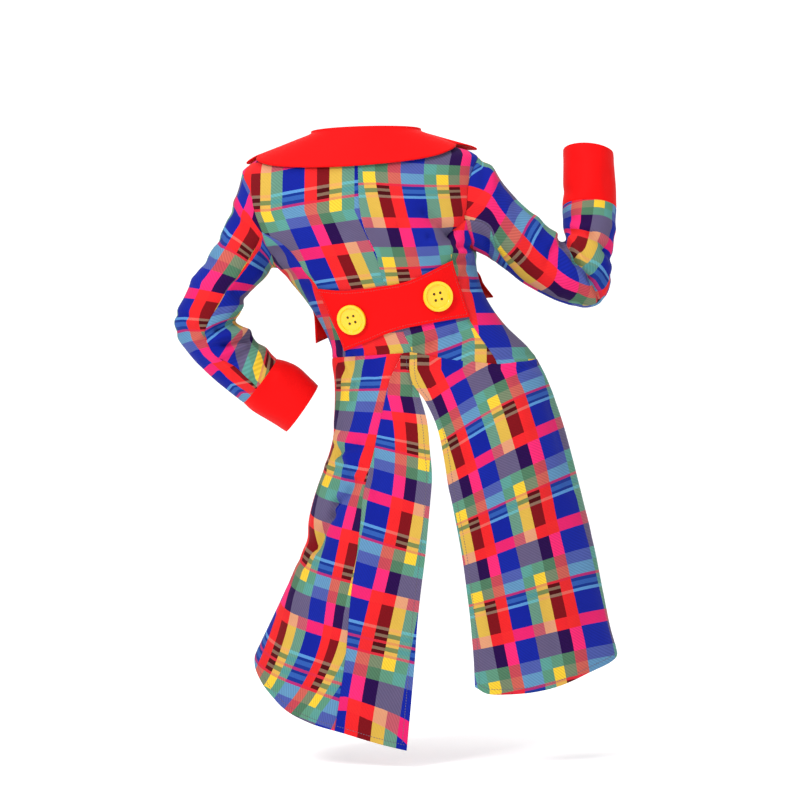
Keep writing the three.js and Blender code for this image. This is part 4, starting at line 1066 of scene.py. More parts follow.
class Shader:
    """A small helper that adds and joins the nodes of one material."""

    def __init__(self, name: str) -> None:
        """Makes an empty material with a Principled surface.

        Args:
            name: the material's name.
        """
        self.material = bpy.data.materials.new(name)
        self.material.use_nodes = True
        self.tree = self.material.node_tree
        self.tree.nodes.clear()
        self.surface = self.tree.nodes.new("ShaderNodeBsdfPrincipled")
        output = self.tree.nodes.new("ShaderNodeOutputMaterial")
        self.tree.links.new(self.surface.outputs[0], output.inputs[0])

    def set(self, **values: float | tuple) -> None:
        """Sets constants on the surface; an underscore stands for a space."""
        for name, value in values.items():
            self.surface.inputs[name.replace("_", " ")].default_value = value

    def link(self, source: Socket, target: Socket) -> None:
        """Joins two sockets."""
        self.tree.links.new(source, target)

    def put(self, socket: Socket, value: object) -> None:
        """Joins a socket to another, or sets its constant.

        Args:
            socket: the input.
            value: a socket or a constant.
        """
        if isinstance(value, Socket):
            self.link(value, socket)
        else:
            socket.default_value = value

    def math(self, operation: str, *values: object) -> Socket:
        """The output of a Math node over sockets and numbers.

        Args:
            operation: the node's operation.
            values: its inputs in turn.

        Returns:
            The output.
        """
        node = self.tree.nodes.new("ShaderNodeMath")
        node.operation = operation
        for socket, value in zip(node.inputs, values):
            self.put(socket, value)
        return node.outputs[0]

    def blend(self, share: object, a: object, b: object, how: str = "MIX") -> Socket:
        """The output of a colour Mix node.

        Args:
            share: how much of b shows.
            a: the first colour.
            b: the second colour.
            how: the way they are mixed.

        Returns:
            The colour.
        """
        node = self.tree.nodes.new("ShaderNodeMix")
        node.data_type = "RGBA"
        node.blend_type = how
        self.put(node.inputs[0], share)
        self.put(node.inputs[6], a)
        self.put(node.inputs[7], b)
        return node.outputs[2]

    def coordinate(self, name: str = "Object") -> Socket:
        """Object coordinates, or the cloth's own places for UV.

        Args:
            name: Object or UV.

        Returns:
            The coordinates.
        """
        if name == "UV":
            node = self.tree.nodes.new("ShaderNodeUVMap")
            node.uv_map = "cloth"
            return node.outputs[0]
        return self.tree.nodes.new("ShaderNodeTexCoord").outputs[name]

    def noise(self, vector: object, scale: float, detail: float = 2.0, rough: float = 0.5) -> Socket:
        """The value of a Noise texture.

        Args:
            vector: where it is read.
            scale: its scale.
            detail: its octaves.
            rough: its roughness.

        Returns:
            The value, from 0 to 1.
        """
        node = self.tree.nodes.new("ShaderNodeTexNoise")
        node.inputs["Scale"].default_value = scale
        node.inputs["Detail"].default_value = detail
        node.inputs["Roughness"].default_value = rough
        self.link(vector, node.inputs["Vector"])
        return node.outputs["Fac"]

    def wave(self, vector: object, scale: float, turn: float) -> Socket:
        """The value of straight bands whose direction is turned by degrees.

        Args:
            vector: where they are read.
            scale: their scale.
            turn: degrees of their direction.

        Returns:
            The value, from 0 to 1.
        """
        mapping = self.tree.nodes.new("ShaderNodeMapping")
        mapping.inputs["Rotation"].default_value = (0, 0, math.radians(turn))
        self.link(vector, mapping.inputs["Vector"])
        node = self.tree.nodes.new("ShaderNodeTexWave")
        node.inputs["Scale"].default_value = scale
        self.link(mapping.outputs[0], node.inputs["Vector"])
        return node.outputs["Fac"]

    def bump(self, height: object, strength: float, distance: float, under: object = None) -> Socket:
        """A bump normal from a height.

        Args:
            height: the height's value.
            strength: how much of the bump shows.
            distance: its height in metres.
            under: a normal below it.

        Returns:
            The normal.
        """
        node = self.tree.nodes.new("ShaderNodeBump")
        node.inputs["Strength"].default_value = strength
        node.inputs["Distance"].default_value = distance
        self.link(height, node.inputs["Height"])
        if under is not None:
            self.link(under, node.inputs["Normal"])
        return node.outputs[0]

    def bands(self, place: object, rows: Sequence[tuple[float, Colour]], length: float) -> Socket:
        """Flat bands of colour along a place from 0 to length.

        Args:
            place: the place along the bands, in mm.
            rows: where each band starts, and its colour from 0 to 255.
            length: where the last band ends.

        Returns:
            The colour.
        """
        node = self.tree.nodes.new("ShaderNodeValToRGB")
        node.color_ramp.interpolation = "CONSTANT"
        stops = node.color_ramp.elements
        stops[0].position = 0.0
        stops[0].color = linear(rows[0][1])
        stops.remove(stops[1])
        for start, colour in rows[1:]:
            stops.new(start / length).color = linear(colour)
        self.link(self.math("DIVIDE", place, length), node.inputs[0])
        return node.outputs[0]


def linear(colour: Colour) -> tuple[float, float, float, float]:
    """A display colour from 0 to 255 as linear light.

    Args:
        colour: red, green and blue.

    Returns:
        The same with an alpha of 1.
    """
    parts = [c / 255 for c in colour]
    light = [c / 12.92 if c <= 0.04045 else ((c + 0.055) / 1.055) ** 2.4 for c in parts]
    return (*light, 1.0)


def marks_of(piece: str) -> tuple[tuple[float | None, ...], ...]:
    """The marks that were read on a piece.

    Args:
        piece: the piece's name.

    Returns:
        Rows of x, z, p and q, with None where p or q wasn't read.
    """
    return tuple(
        (x, z, p[0] if p else None, q) for q, places in MARKS[piece].items() for x, z, *p in places
    )


def plain_lie(x: float, z: float, p: float, q: float, way: tuple[int, int]) -> Lie:
    """The lie of a hidden piece, whose cloth runs straight from one mark."""
    return Lie(((x, z, p, q),), way)


# The way the check lies on each piece
LIES = {
    "back_left": Lie(marks_of("back_left"), (-1, 1)),
    "back_right": Lie(marks_of("back_right"), (1, -1)),
    "side_left": Lie(marks_of("side_left"), (-1, 1), 1.0),
    "side_right": Lie(marks_of("side_right"), (1, -1), 1.0),
    "front_left": plain_lie(-120, -200, 70.0, 200.0, (-1, 1)),
    "front_right": plain_lie(205, -200, 90.0, 260.0, (1, -1)),
    "tail_left_back": Lie(marks_of("tail_left_back"), (-1, 1), 0.15),
    "tail_left_side": Lie(marks_of("tail_left_side"), (-1, 1), 0.5),
    "tail_right": Lie(marks_of("tail_right"), (1, -1), 0.15),
    "tail_right_side": plain_lie(340, -480, 40.0, 300.0, (1, -1)),
    "sleeve_left_top": Lie(marks_of("sleeve_left_top"), (-1, -1), 0.07),
    "sleeve_left_under": Lie(marks_of("sleeve_left_under"), (1, 1), 0.15),
    "sleeve_right_top": Lie(marks_of("sleeve_right_top"), (-1, 1), 0.07),
    "sleeve_right_fore": Lie(marks_of("sleeve_right_fore"), (-1, 1), 0.1),
    "sleeve_right_under": plain_lie(206.0, -155.0, 98.0, 100.0, (-1, 1)),
}


@dataclass(frozen=True)
class PlaidFinish:
    """The matt checked twill, with its repeat in mm and the colours where stripes cross."""

    across: float = 116.5
    down: float = 161.0
    doubled: float = 22.0  # the stripe group that repeats itself where q passes 0
    mixed_from: float = 84.0  # where the rows of two-coloured yarns start
    depth: float = 0.66  # share of the chart's light that the cloth gives back
    roughness: float = 0.85
    sheen: float = 0.03

    # Where each column of the check starts, and its colour in every row of the check
    columns = (
        ("T", 0.0),
        ("Y", 20.0),
        ("K", 40.0),
        ("R", 60.0),
        ("B", 80.0),
    )
    rows = {
        "T": (
            (0, (196, 92, 104)), (4, (98, 152, 138)), (10, (84, 150, 146)), (17, (98, 152, 138)),
            (22, (104, 176, 178)), (27, (103, 148, 128)), (64, (192, 88, 102)), (84, (100, 90, 124)),
            (121.5, (92, 158, 148)), (141, (92, 150, 124)),
        ),
        "Y": (
            (0, (234, 158, 92)), (4, (238, 186, 84)), (10, (128, 142, 84)), (17, (238, 186, 84)),
            (22, (240, 176, 96)), (27, (232, 188, 78)), (64, (236, 164, 124)), (84, (99, 90, 124)),
            (121.5, (95, 150, 124)), (141, (248, 206, 58)),
        ),
        "K": (
            (0, (226, 44, 60)), (4, (92, 4, 14)), (10, (138, 108, 88)), (15, (78, 4, 12)),
            (22, (146, 112, 94)), (27, (132, 10, 22)), (64, (250, 38, 44)), (84, (38, 2, 72)),
            (121.5, (80, 122, 94)), (141, (118, 132, 104)),
        ),
        "R": (
            (0, (236, 44, 66)), (4, (246, 42, 46)), (22, (244, 104, 94)), (27, (252, 38, 42)),
            (64, (254, 42, 44)), (84, (252, 42, 118)), (121.5, (196, 72, 84)), (141, (206, 98, 86)),
        ),
        "B": (
            (0, (190, 44, 122)), (4, (22, 56, 152)), (10, (50, 96, 184)), (17, (14, 52, 146)),
            (22, (94, 156, 222)), (27, (12, 32, 160)), (64, (246, 36, 116)), (84, (16, 36, 158)),
            (121.5, (78, 92, 168)), (141, (98, 148, 188)),
        ),
    }

    def material(self, name: str) -> Finish:
        """Builds the check, its yarns and its twill.

        Args:
            name: the material's name.

        Returns:
            The material.
        """
        cloth = Shader(name)
        place = cloth.coordinate("UV")
        split = cloth.tree.nodes.new("ShaderNodeSeparateXYZ")
        wander = cloth.noise(place, 90.0, 2.0)
        off = cloth.math("MULTIPLY", cloth.math("SUBTRACT", wander, 0.5), 0.7)
        cloth.link(place, split.inputs[0])
        p = cloth.math("ADD", cloth.math("DIVIDE", split.outputs[0], MM), off)
        q = cloth.math("ADD", cloth.math("DIVIDE", split.outputs[1], MM), off)
        below = cloth.math("LESS_THAN", q, 0.0)
        q = cloth.math("ADD", q, cloth.math("MULTIPLY", below, self.doubled))
        p = cloth.math("FLOORED_MODULO", p, self.across)
        q = cloth.math("FLOORED_MODULO", q, self.down)
        colour = cloth.bands(q, self.rows["T"], self.down)
        for key, start in self.columns[1:]:
            inside = cloth.math("GREATER_THAN", p, start)
            colour = cloth.blend(inside, colour, cloth.bands(q, self.rows[key], self.down))
        twill = cloth.wave(place, 78.0, 45.0)
        yarn = cloth.noise(place, 900.0, 3.0, 0.6)
        slub = cloth.noise(place, 28.0, 3.0)
        pale = cloth.math("LESS_THAN", p, self.columns[1][1])
        mixed = cloth.math("MAXIMUM", pale, cloth.math("GREATER_THAN", q, self.mixed_from))
        weave = cloth.math("MULTIPLY", twill, cloth.math("ADD", 0.04, cloth.math("MULTIPLY", mixed, 0.14)))
        shade = cloth.math("ADD", self.depth, weave)
        shade = cloth.math("ADD", shade, cloth.math("MULTIPLY", cloth.math("SUBTRACT", yarn, 0.5), 0.10))
        shade = cloth.math("ADD", shade, cloth.math("MULTIPLY", cloth.math("SUBTRACT", slub, 0.5), 0.10))
        colour = cloth.blend(1.0, colour, shade, "MULTIPLY")
        cloth.put(cloth.surface.inputs["Base Color"], colour)
        rough = cloth.math("ADD", self.roughness - 0.04, cloth.math("MULTIPLY", yarn, 0.08))
        cloth.put(cloth.surface.inputs["Roughness"], rough)
        cloth.set(Sheen_Weight=self.sheen, Sheen_Roughness=0.5, Specular_IOR_Level=0.1)
        height = cloth.math("ADD", cloth.math("MULTIPLY", twill, 0.6), cloth.math("MULTIPLY", yarn, 0.4))
        under = cloth.bump(cloth.noise(place, 16.0, 3.0), 0.25, 0.004)
        cloth.put(cloth.surface.inputs["Normal"], cloth.bump(height, 0.25, 0.0006, under))
        return cloth.material


@dataclass(frozen=True)
class RedFinish:
    """The plain red satin of the collar, lapels, cuffs and half belt."""

    colour: Colour = (240, 2, 4)
    roughness: float = 0.7
    sheen: float = 0.04

    def material(self, name: str) -> Finish:
        """Builds the red cloth; its weave follows the object's own coordinates.

        Args:
            name: the material's name.

        Returns:
            The material.
        """
        cloth = Shader(name)
        place = cloth.coordinate()
        pull = cloth.noise(place, 5.0, 3.0)
        yarn = cloth.noise(place, 1100.0, 2.0, 0.6)
        deep = tuple(int(c * 0.86) for c in self.colour)
        tone = cloth.blend(cloth.math("MULTIPLY", pull, 0.6), linear(self.colour), linear(deep))
        shade = cloth.math("ADD", 0.84, cloth.math("MULTIPLY", yarn, 0.12))
        cloth.put(cloth.surface.inputs["Base Color"], cloth.blend(1.0, tone, shade, "MULTIPLY"))
        rough = cloth.math("ADD", self.roughness - 0.05, cloth.math("MULTIPLY", yarn, 0.1))
        cloth.put(cloth.surface.inputs["Roughness"], rough)
        cloth.set(Sheen_Weight=self.sheen, Sheen_Roughness=0.4, Specular_IOR_Level=0.12)
        weave = cloth.math("ADD", cloth.wave(place, 160.0, 45.0), cloth.math("MULTIPLY", yarn, 0.7))
        under = cloth.bump(cloth.noise(place, 22.0, 3.0), 0.2, 0.004)
        cloth.put(cloth.surface.inputs["Normal"], cloth.bump(weave, 0.15, 0.0004, under))
        return cloth.material


@dataclass(frozen=True)
class ButtonFinish:
    """Glossy moulded yellow plastic with faint flow marks and fine scratches."""

    colour: Colour = (240, 196, 3)
    roughness: float = 0.3

    def material(self, name: str) -> Finish:
        """Builds the plastic.

        Args:
            name: the material's name.

        Returns:
            The material.
        """
        plastic = Shader(name)
        place = plastic.coordinate()
        flow = plastic.noise(place, 60.0, 3.0)
        warm = tuple(int(c * s) for c, s in zip(self.colour, (0.97, 0.90, 0.8)))
        tone = plastic.blend(plastic.math("MULTIPLY", flow, 0.5), linear(self.colour), linear(warm))
        plastic.put(plastic.surface.inputs["Base Color"], tone)
        scratch = plastic.noise(place, 700.0, 4.0, 0.7)
        rough = plastic.math("ADD", self.roughness - 0.06, plastic.math("MULTIPLY", scratch, 0.14))
        plastic.put(plastic.surface.inputs["Roughness"], rough)
        plastic.set(Specular_IOR_Level=0.5, Coat_Weight=0.25, Coat_Roughness=0.1)
        plastic.put(plastic.surface.inputs["Normal"], plastic.bump(scratch, 0.05, 0.0003))
        return plastic.material


@dataclass(frozen=True)
class ThreadFinish:
    """Twisted sewing thread in one colour."""

    colour: Colour

    def material(self, name: str) -> Finish:
        """Builds the thread.

        Args:
            name: the material's name.

        Returns:
            The material.
        """
        thread = Shader(name)
        place = thread.coordinate()
        twist = thread.noise(place, 1500.0, 2.0)
        dark = tuple(int(c * 0.7) for c in self.colour)
        tone = thread.blend(twist, linear(self.colour), linear(dark))
        thread.put(thread.surface.inputs["Base Color"], tone)
        thread.set(Roughness=0.7, Sheen_Weight=0.2)
        thread.put(thread.surface.inputs["Normal"], thread.bump(twist, 0.4, 0.0004))
        return thread.material


@dataclass(frozen=True)
class PaperFinish:
    """The pale floor and backdrop."""

    def material(self, name: str) -> Finish:
        """Builds the matt paper.

        Args:
            name: the material's name.

        Returns:
            The material.
        """
        paper = Shader(name)
        place = paper.coordinate()
        tone = paper.blend(paper.noise(place, 3.0), linear((250, 250, 250)), linear((246, 246, 247)))
        paper.put(paper.surface.inputs["Base Color"], tone)
        paper.set(Roughness=0.9, Emission_Color=(1, 1, 1, 1), Emission_Strength=0.33)
        return paper.material


@dataclass
class Wardrobe:
    """Every finish, made once."""

    body: Finish = field(init=False)
    tail: Finish = field(init=False)
    sleeve: Finish = field(init=False)
    red: Finish = field(init=False)
    plastic: Finish = field(init=False)
    red_thread: Finish = field(init=False)
    dark_thread: Finish = field(init=False)
    slate_thread: Finish = field(init=False)
    paper: Finish = field(init=False)

    def __post_init__(self) -> None:
        """Makes the materials."""
        self.body = PlaidFinish().material("plaid_body_twill")
        self.tail = PlaidFinish().material("plaid_tail_twill")
        self.sleeve = PlaidFinish().material("plaid_sleeve_twill")
        self.red = RedFinish().material("red_satin")
        self.plastic = ButtonFinish().material("yellow_button_plastic")
        self.red_thread = ThreadFinish((186, 8, 10)).material("red_thread")
        self.dark_thread = ThreadFinish((84, 44, 8)).material("brown_thread")
        self.slate_thread = ThreadFinish((96, 82, 104)).material("slate_thread")
        self.paper = PaperFinish().material("pale_paper")


def unrolled(points: Array) -> Array:
    """Distances along each row of a grid of points from its middle column.

    Args:
        points: the grid, in mm.

    Returns:
        A distance for each point.
    """
    steps = np.linalg.norm(np.diff(points, axis=1, prepend=points[:, :1]), axis=-1)
    along = np.cumsum(steps, axis=1)
    middle = points.shape[1] // 2
    return along - along[:, middle:middle + 1]


@functools.cache
def body_grid() -> tuple[Array, Array]:
    """A fine grid of the plain body's back and its flat places.

    Returns:
        The points and their flat places.
    """
    turn, down = np.meshgrid(np.linspace(-110, 110, 401), np.linspace(0, len(BODY) - 1, 401))
    points = BODY_FORM.bare(turn, down)
    middle = points[:, points.shape[1] // 2, None, 0]
    return points, np.stack([unrolled(points) + middle, points[..., 2]], -1)


def body_cut(lie: Lie) -> Cut:
    """The cut of a body or tail piece, from where its marks lie on the plain body."""
    return Cut(lie, flat_marks(lie.marks, *body_grid()))


@dataclass
class Panel:
    """A panel of the body or tails between two lines."""

    name: str
    left: Line
    right: Line
    top: Line
    bottom: Line
    first: float
    last: float
    sewn: tuple[bool, bool, bool, bool] = ALL_SEWN
    bend: float = 6
    lift: Callable[[Array, Array], Array] | None = None
    slot: str = "plaid_body"
    held: str = "hung"
    rests: tuple[str, ...] = ()
    points: Array = field(init=False, default=None)
    places: Array = field(init=False, default=None)

    def place(self, u: Array, v: Array) -> tuple[Array, Array]:
        """Turn and row of shares across and down the panel.

        Args:
            u: shares across.
            v: shares down.

        Returns:
            The turns and the rows.
        """
        stop = mix(self.first, self.last, v)
        row = stop + (self.top(u) - self.first) * (1 - v) ** 2 + (self.bottom(u) - self.last) * v**self.bend
        left, right = self.left(row), self.right(row)
        left = left + BODY_FORM.gap(left, row, SEAM)
        right = right - BODY_FORM.gap(right, row, SEAM)
        return mix(left, right, u), row

    def build(self) -> None:
        """Makes the panel's grid of points."""
        coarse = self.place(*np.meshgrid(np.linspace(0, 1, 13), np.linspace(0, 1, 25)))
        rough = BODY_FORM.bare(*coarse)
        wide = np.linalg.norm(np.diff(rough, axis=1), axis=-1).sum(1).max()
        tall = np.linalg.norm(np.diff(rough, axis=0), axis=-1).sum(0).max()
        u, v = np.meshgrid(spaced(wide), spaced(tall))
        turns, rows = self.place(u, v)
        out = -edge_dip(u, v, wide, tall, self.sewn)
        if self.lift is not None:
            out = out + self.lift(turns, rows)
        self.points = BODY_FORM.surface(turns, rows, out)
        middle = BODY_FORM.bare(np.zeros(len(rows)), rows[:, 0])
        start = self.round_distance(rows[:, 0], turns[:, 0]) + middle[:, 0]
        self.places = flat_places(BODY_FORM.bare(turns, rows), start)

    def round_distance(self, row: Array, turn: Array) -> Array:
        """The distance round the plain body from the middle of the back to a turn.

        Args:
            row: rows down.
            turn: degrees round.

        Returns:
            The distances, below 0 on the left.
        """
        share = np.linspace(0, 1, 60)
        path = BODY_FORM.bare(turn[:, None] * share, np.repeat(row[:, None], 60, 1))
        return np.sign(turn) * np.linalg.norm(np.diff(path, axis=1), axis=-1).sum(1)

    def dress(self, finish: Finish) -> None:
        """Makes the piece and gives it its check.

        Args:
            finish: the check's material.
        """
        uv = body_cut(LIES[self.name]).places(self.places)
        piece = cloth_mesh(f"{self.name}_cloth", self.points, uv, inside=core(self.points))
        piece.data.materials.append(finish)
        lay_out(piece, self.points, self.name)


def neck_edge(u: Array) -> Array:
    """The row of the neck's edge at each share, which is 0."""
    return np.zeros(np.shape(u))


@dataclass
class Bodice:
    """The back, side and front panels above the waist seam."""

    wardrobe: Wardrobe
    side_top: float = 6.6  # row where the side panels start
    panels: list[Panel] = field(default_factory=list)

    def build(self) -> None:
        """Makes the six panels."""
        princess = {side: LINE[f"princess{side.value.title()}"] for side in Side}
        sides = {side: LINE[f"side{side.value.title()}"] for side in Side}
        fronts = {side: LINE[f"frontEdge{side.value.title()}"] for side in Side}
        centre = LINE["centreBack"]
        last = {Side.LEFT: 13.0, Side.RIGHT: 13.2}
        for side in Side:
            name = side.value
            waist, front_hem = HEM[f"waist{name.title()}"], HEM[f"front{name.title()}"]
            is_left = side is Side.LEFT
            back, front = OUTER[f"back_{name}"], OUTER[f"front_{name}"]
            pair = (back, centre) if is_left else (centre, back)
            self.panels.append(Panel(
                f"back_{name}", *pair, neck_edge, edge_along(*pair, waist), 0, last[side],
                rests=("collar_cloth",),
            ))
            pair = (sides[side], princess[side]) if is_left else (princess[side], sides[side])
            hole = LINE[f"armhole{name.title()}"]
            top = under_arm(*pair, hole, PRINCESS[side], ARMPIT[side], -90 if is_left else 90)
            self.panels.append(Panel(
                f"side_{name}", *pair, top, edge_along(*pair, waist), self.side_top, last[side],
                rests=(f"back_{name}_cloth",),
            ))
            pair = (fronts[side], front) if is_left else (front, fronts[side])
            sewn = (not is_left, is_left, True, False)
            self.panels.append(Panel(
                f"front_{name}", *pair, neck_edge, edge_along(*pair, front_hem), 0, last[side],
                sewn=sewn, rests=("collar_cloth",),
            ))
        for panel in self.panels:
            panel.build()

    def dress(self) -> None:
        """Makes and dresses every panel."""
        for panel in self.panels:
            panel.dress(self.wardrobe.body)


@dataclass
class Tails:
    """The two long tails below the waist seam, parted by the vent."""

    wardrobe: Wardrobe
    lap_lift: float = 4.4
    lap_width: float = 9.0
    lap_end: float = 15.2
    last: float = 22.2  # row where the panels end before their hems' own shape
    hem: float = 8.5  # from a hem to its stitches
    panels: list[Panel] = field(default_factory=list)

    def lapped(self, turn: Array, row: Array) -> Array:
        """How far the right tail's edge lies over the left one."""
        near = np.exp(-(((turn - LINE["ventRight"](row)) / self.lap_width) ** 2))
        return self.lap_lift * near * np.clip(self.lap_end - row, 0, 1)

    def build(self) -> None:
        """Makes the four panels."""
        plan = (
            ("tail_left_back", "goreLeft", "ventLeft", Side.LEFT, (True, False, True, False)),
            ("tail_left_side", "tailFrontLeft", "goreLeft", Side.LEFT, (False, True, True, False)),
            ("tail_right", "ventRight", "goreRight", Side.RIGHT, (False, True, True, False)),
            ("tail_right_side", "goreRight", "tailFrontRight", Side.RIGHT, (True, False, True, False)),
        )
        for name, left, right, side, sewn in plan:
            pair = (LINE[left], LINE[right])
            title = side.value.title()
            self.panels.append(Panel(
                name, *pair, edge_along(*pair, HEM[f"waist{title}"]), edge_along(*pair, HEM[f"tail{title}"]),
                WAIST_ROW, self.last, sewn=sewn, bend=2, slot="plaid_tail",
                lift=self.lapped if name == "tail_right" else None,
                rests=(f"back_{side.value}_cloth",),
            ))
        for panel in self.panels:
            panel.build()

    def dress(self) -> None:
        """Makes and dresses every panel, and stitches the hems and the vent's edges."""
        thread = Stitching("tail_stitches", "plaid_tail", self.wardrobe.slate_thread)
        for panel in self.panels:
            panel.dress(self.wardrobe.tail)
            middle = core(panel.points)
            thread.lines.append(inset_line(panel.points, "bottom", self.hem, middle))
            for edge, sewn in (("left", panel.sewn[0]), ("right", panel.sewn[1])):
                if not sewn:
                    line, normals = inset_line(panel.points, edge, self.hem, middle)
                    thread.lines.append((line[4:-3], normals[4:-3]))
        thread.dress()


def along_arm(ring: Array, step: Array) -> Array:
    """The direction along an arm at a ring.

    Args:
        ring: the outer and inner edge of the ring, as x, z, x, z.
        step: the way from this ring's edges to the next one's.

    Returns:
        A direction in the picture's plane.
    """
    direction = unit(np.array([ring[3] - ring[1], 0, ring[0] - ring[2]], float))
    ahead = np.array([step[0] + step[2], 0, step[1] + step[3]], float)
    return -direction if direction @ ahead < 0 else direction


def ring_points(ring: Array, direction: Array, turn: Array) -> Array:
    """Points round a ring of a sleeve or cuff.

    Args:
        ring: its outer and inner edge, half depth, middle Y and lead.
        direction: the way along the arm.
        turn: degrees round.

    Returns:
        The points, in mm.
    """
    outer_x, outer_z, inner_x, inner_z, depth, middle_y, lead = ring
    c, s = np.cos(np.radians(turn)), np.sin(np.radians(turn))
    p = np.stack(
        [mix(outer_x, inner_x, (1 - c) / 2), middle_y - depth * s, mix(outer_z, inner_z, (1 - c) / 2)], -1
    )
    return p + direction * (lead * s)[..., None]


class Tube:
    """A tube through rings whose first ring is given by a function of the turn."""

    def __init__(self, rings: Table, start: Line, creases: Table) -> None:
        """Keeps the rings and finds the direction along the tube at each.

        Args:
            rings: rows of outer x and z, inner x and z, half depth, middle Y and lead.
            start: the points of the first ring for turns.
            creases: its creases as the picture shows them.
        """
        self.rings = np.array(rings, float)
        self.start = start
        self.creases = creases
        self.directions = []
        for k, ring in enumerate(self.rings):
            here = min(k, len(self.rings) - 2)
            step = self.rings[here + 1] - self.rings[here]
            self.directions.append(along_arm(ring, step))

    def bare(self, turn: Array, at: Array) -> Array:
        """Points of the plain tube.

        Args:
            turn: degrees round, with 0 at the outer edge and 90 at the back.
            at: ring numbers, with 0 at the start.

        Returns:
            The points, in mm.
        """
        turn, at = np.broadcast_arrays(np.asarray(turn, float), np.asarray(at, float))
        rows = [self.start(turn)]
        rows += [ring_points(ring, way, turn) for ring, way in zip(self.rings, self.directions)]
        return between_rows(np.stack(rows), np.clip(at, 0, len(self.rings) - 1e-9))

    def surface(self, turn: Array, at: Array, out: Array | float = 0.0) -> Array:
        """Points of the creased tube, moved outwards.

        Args:
            turn: degrees round.
            at: ring numbers.
            out: distance outwards, in mm.

        Returns:
            The points, in mm.
        """
        p = self.bare(turn, at)
        safe = np.clip(at, STEP, len(self.rings) - STEP)
        round_way = self.bare(turn + 0.5, safe) - self.bare(turn - 0.5, safe)
        down_way = self.bare(turn, safe + STEP) - self.bare(turn, safe - STEP)
        n = unit(np.cross(round_way, down_way))
        middle = (self.bare(0 * turn, at) + self.bare(0 * turn + 180, at)) / 2
        n = n * np.sign(np.sum(n * (p - middle), -1, keepdims=True))
        back = (1 + np.sin(np.radians(turn))) / 2
        share = mix(0.45, 1.0, smooth(back * 1.4 - 0.2))
        push = -CREASE_GAIN * creased(p[..., 0], p[..., 2], self.creases) * share
        fade = smooth(np.clip(at / 0.8, 0, 1))
        return p + n * (push * fade + out)[..., None]


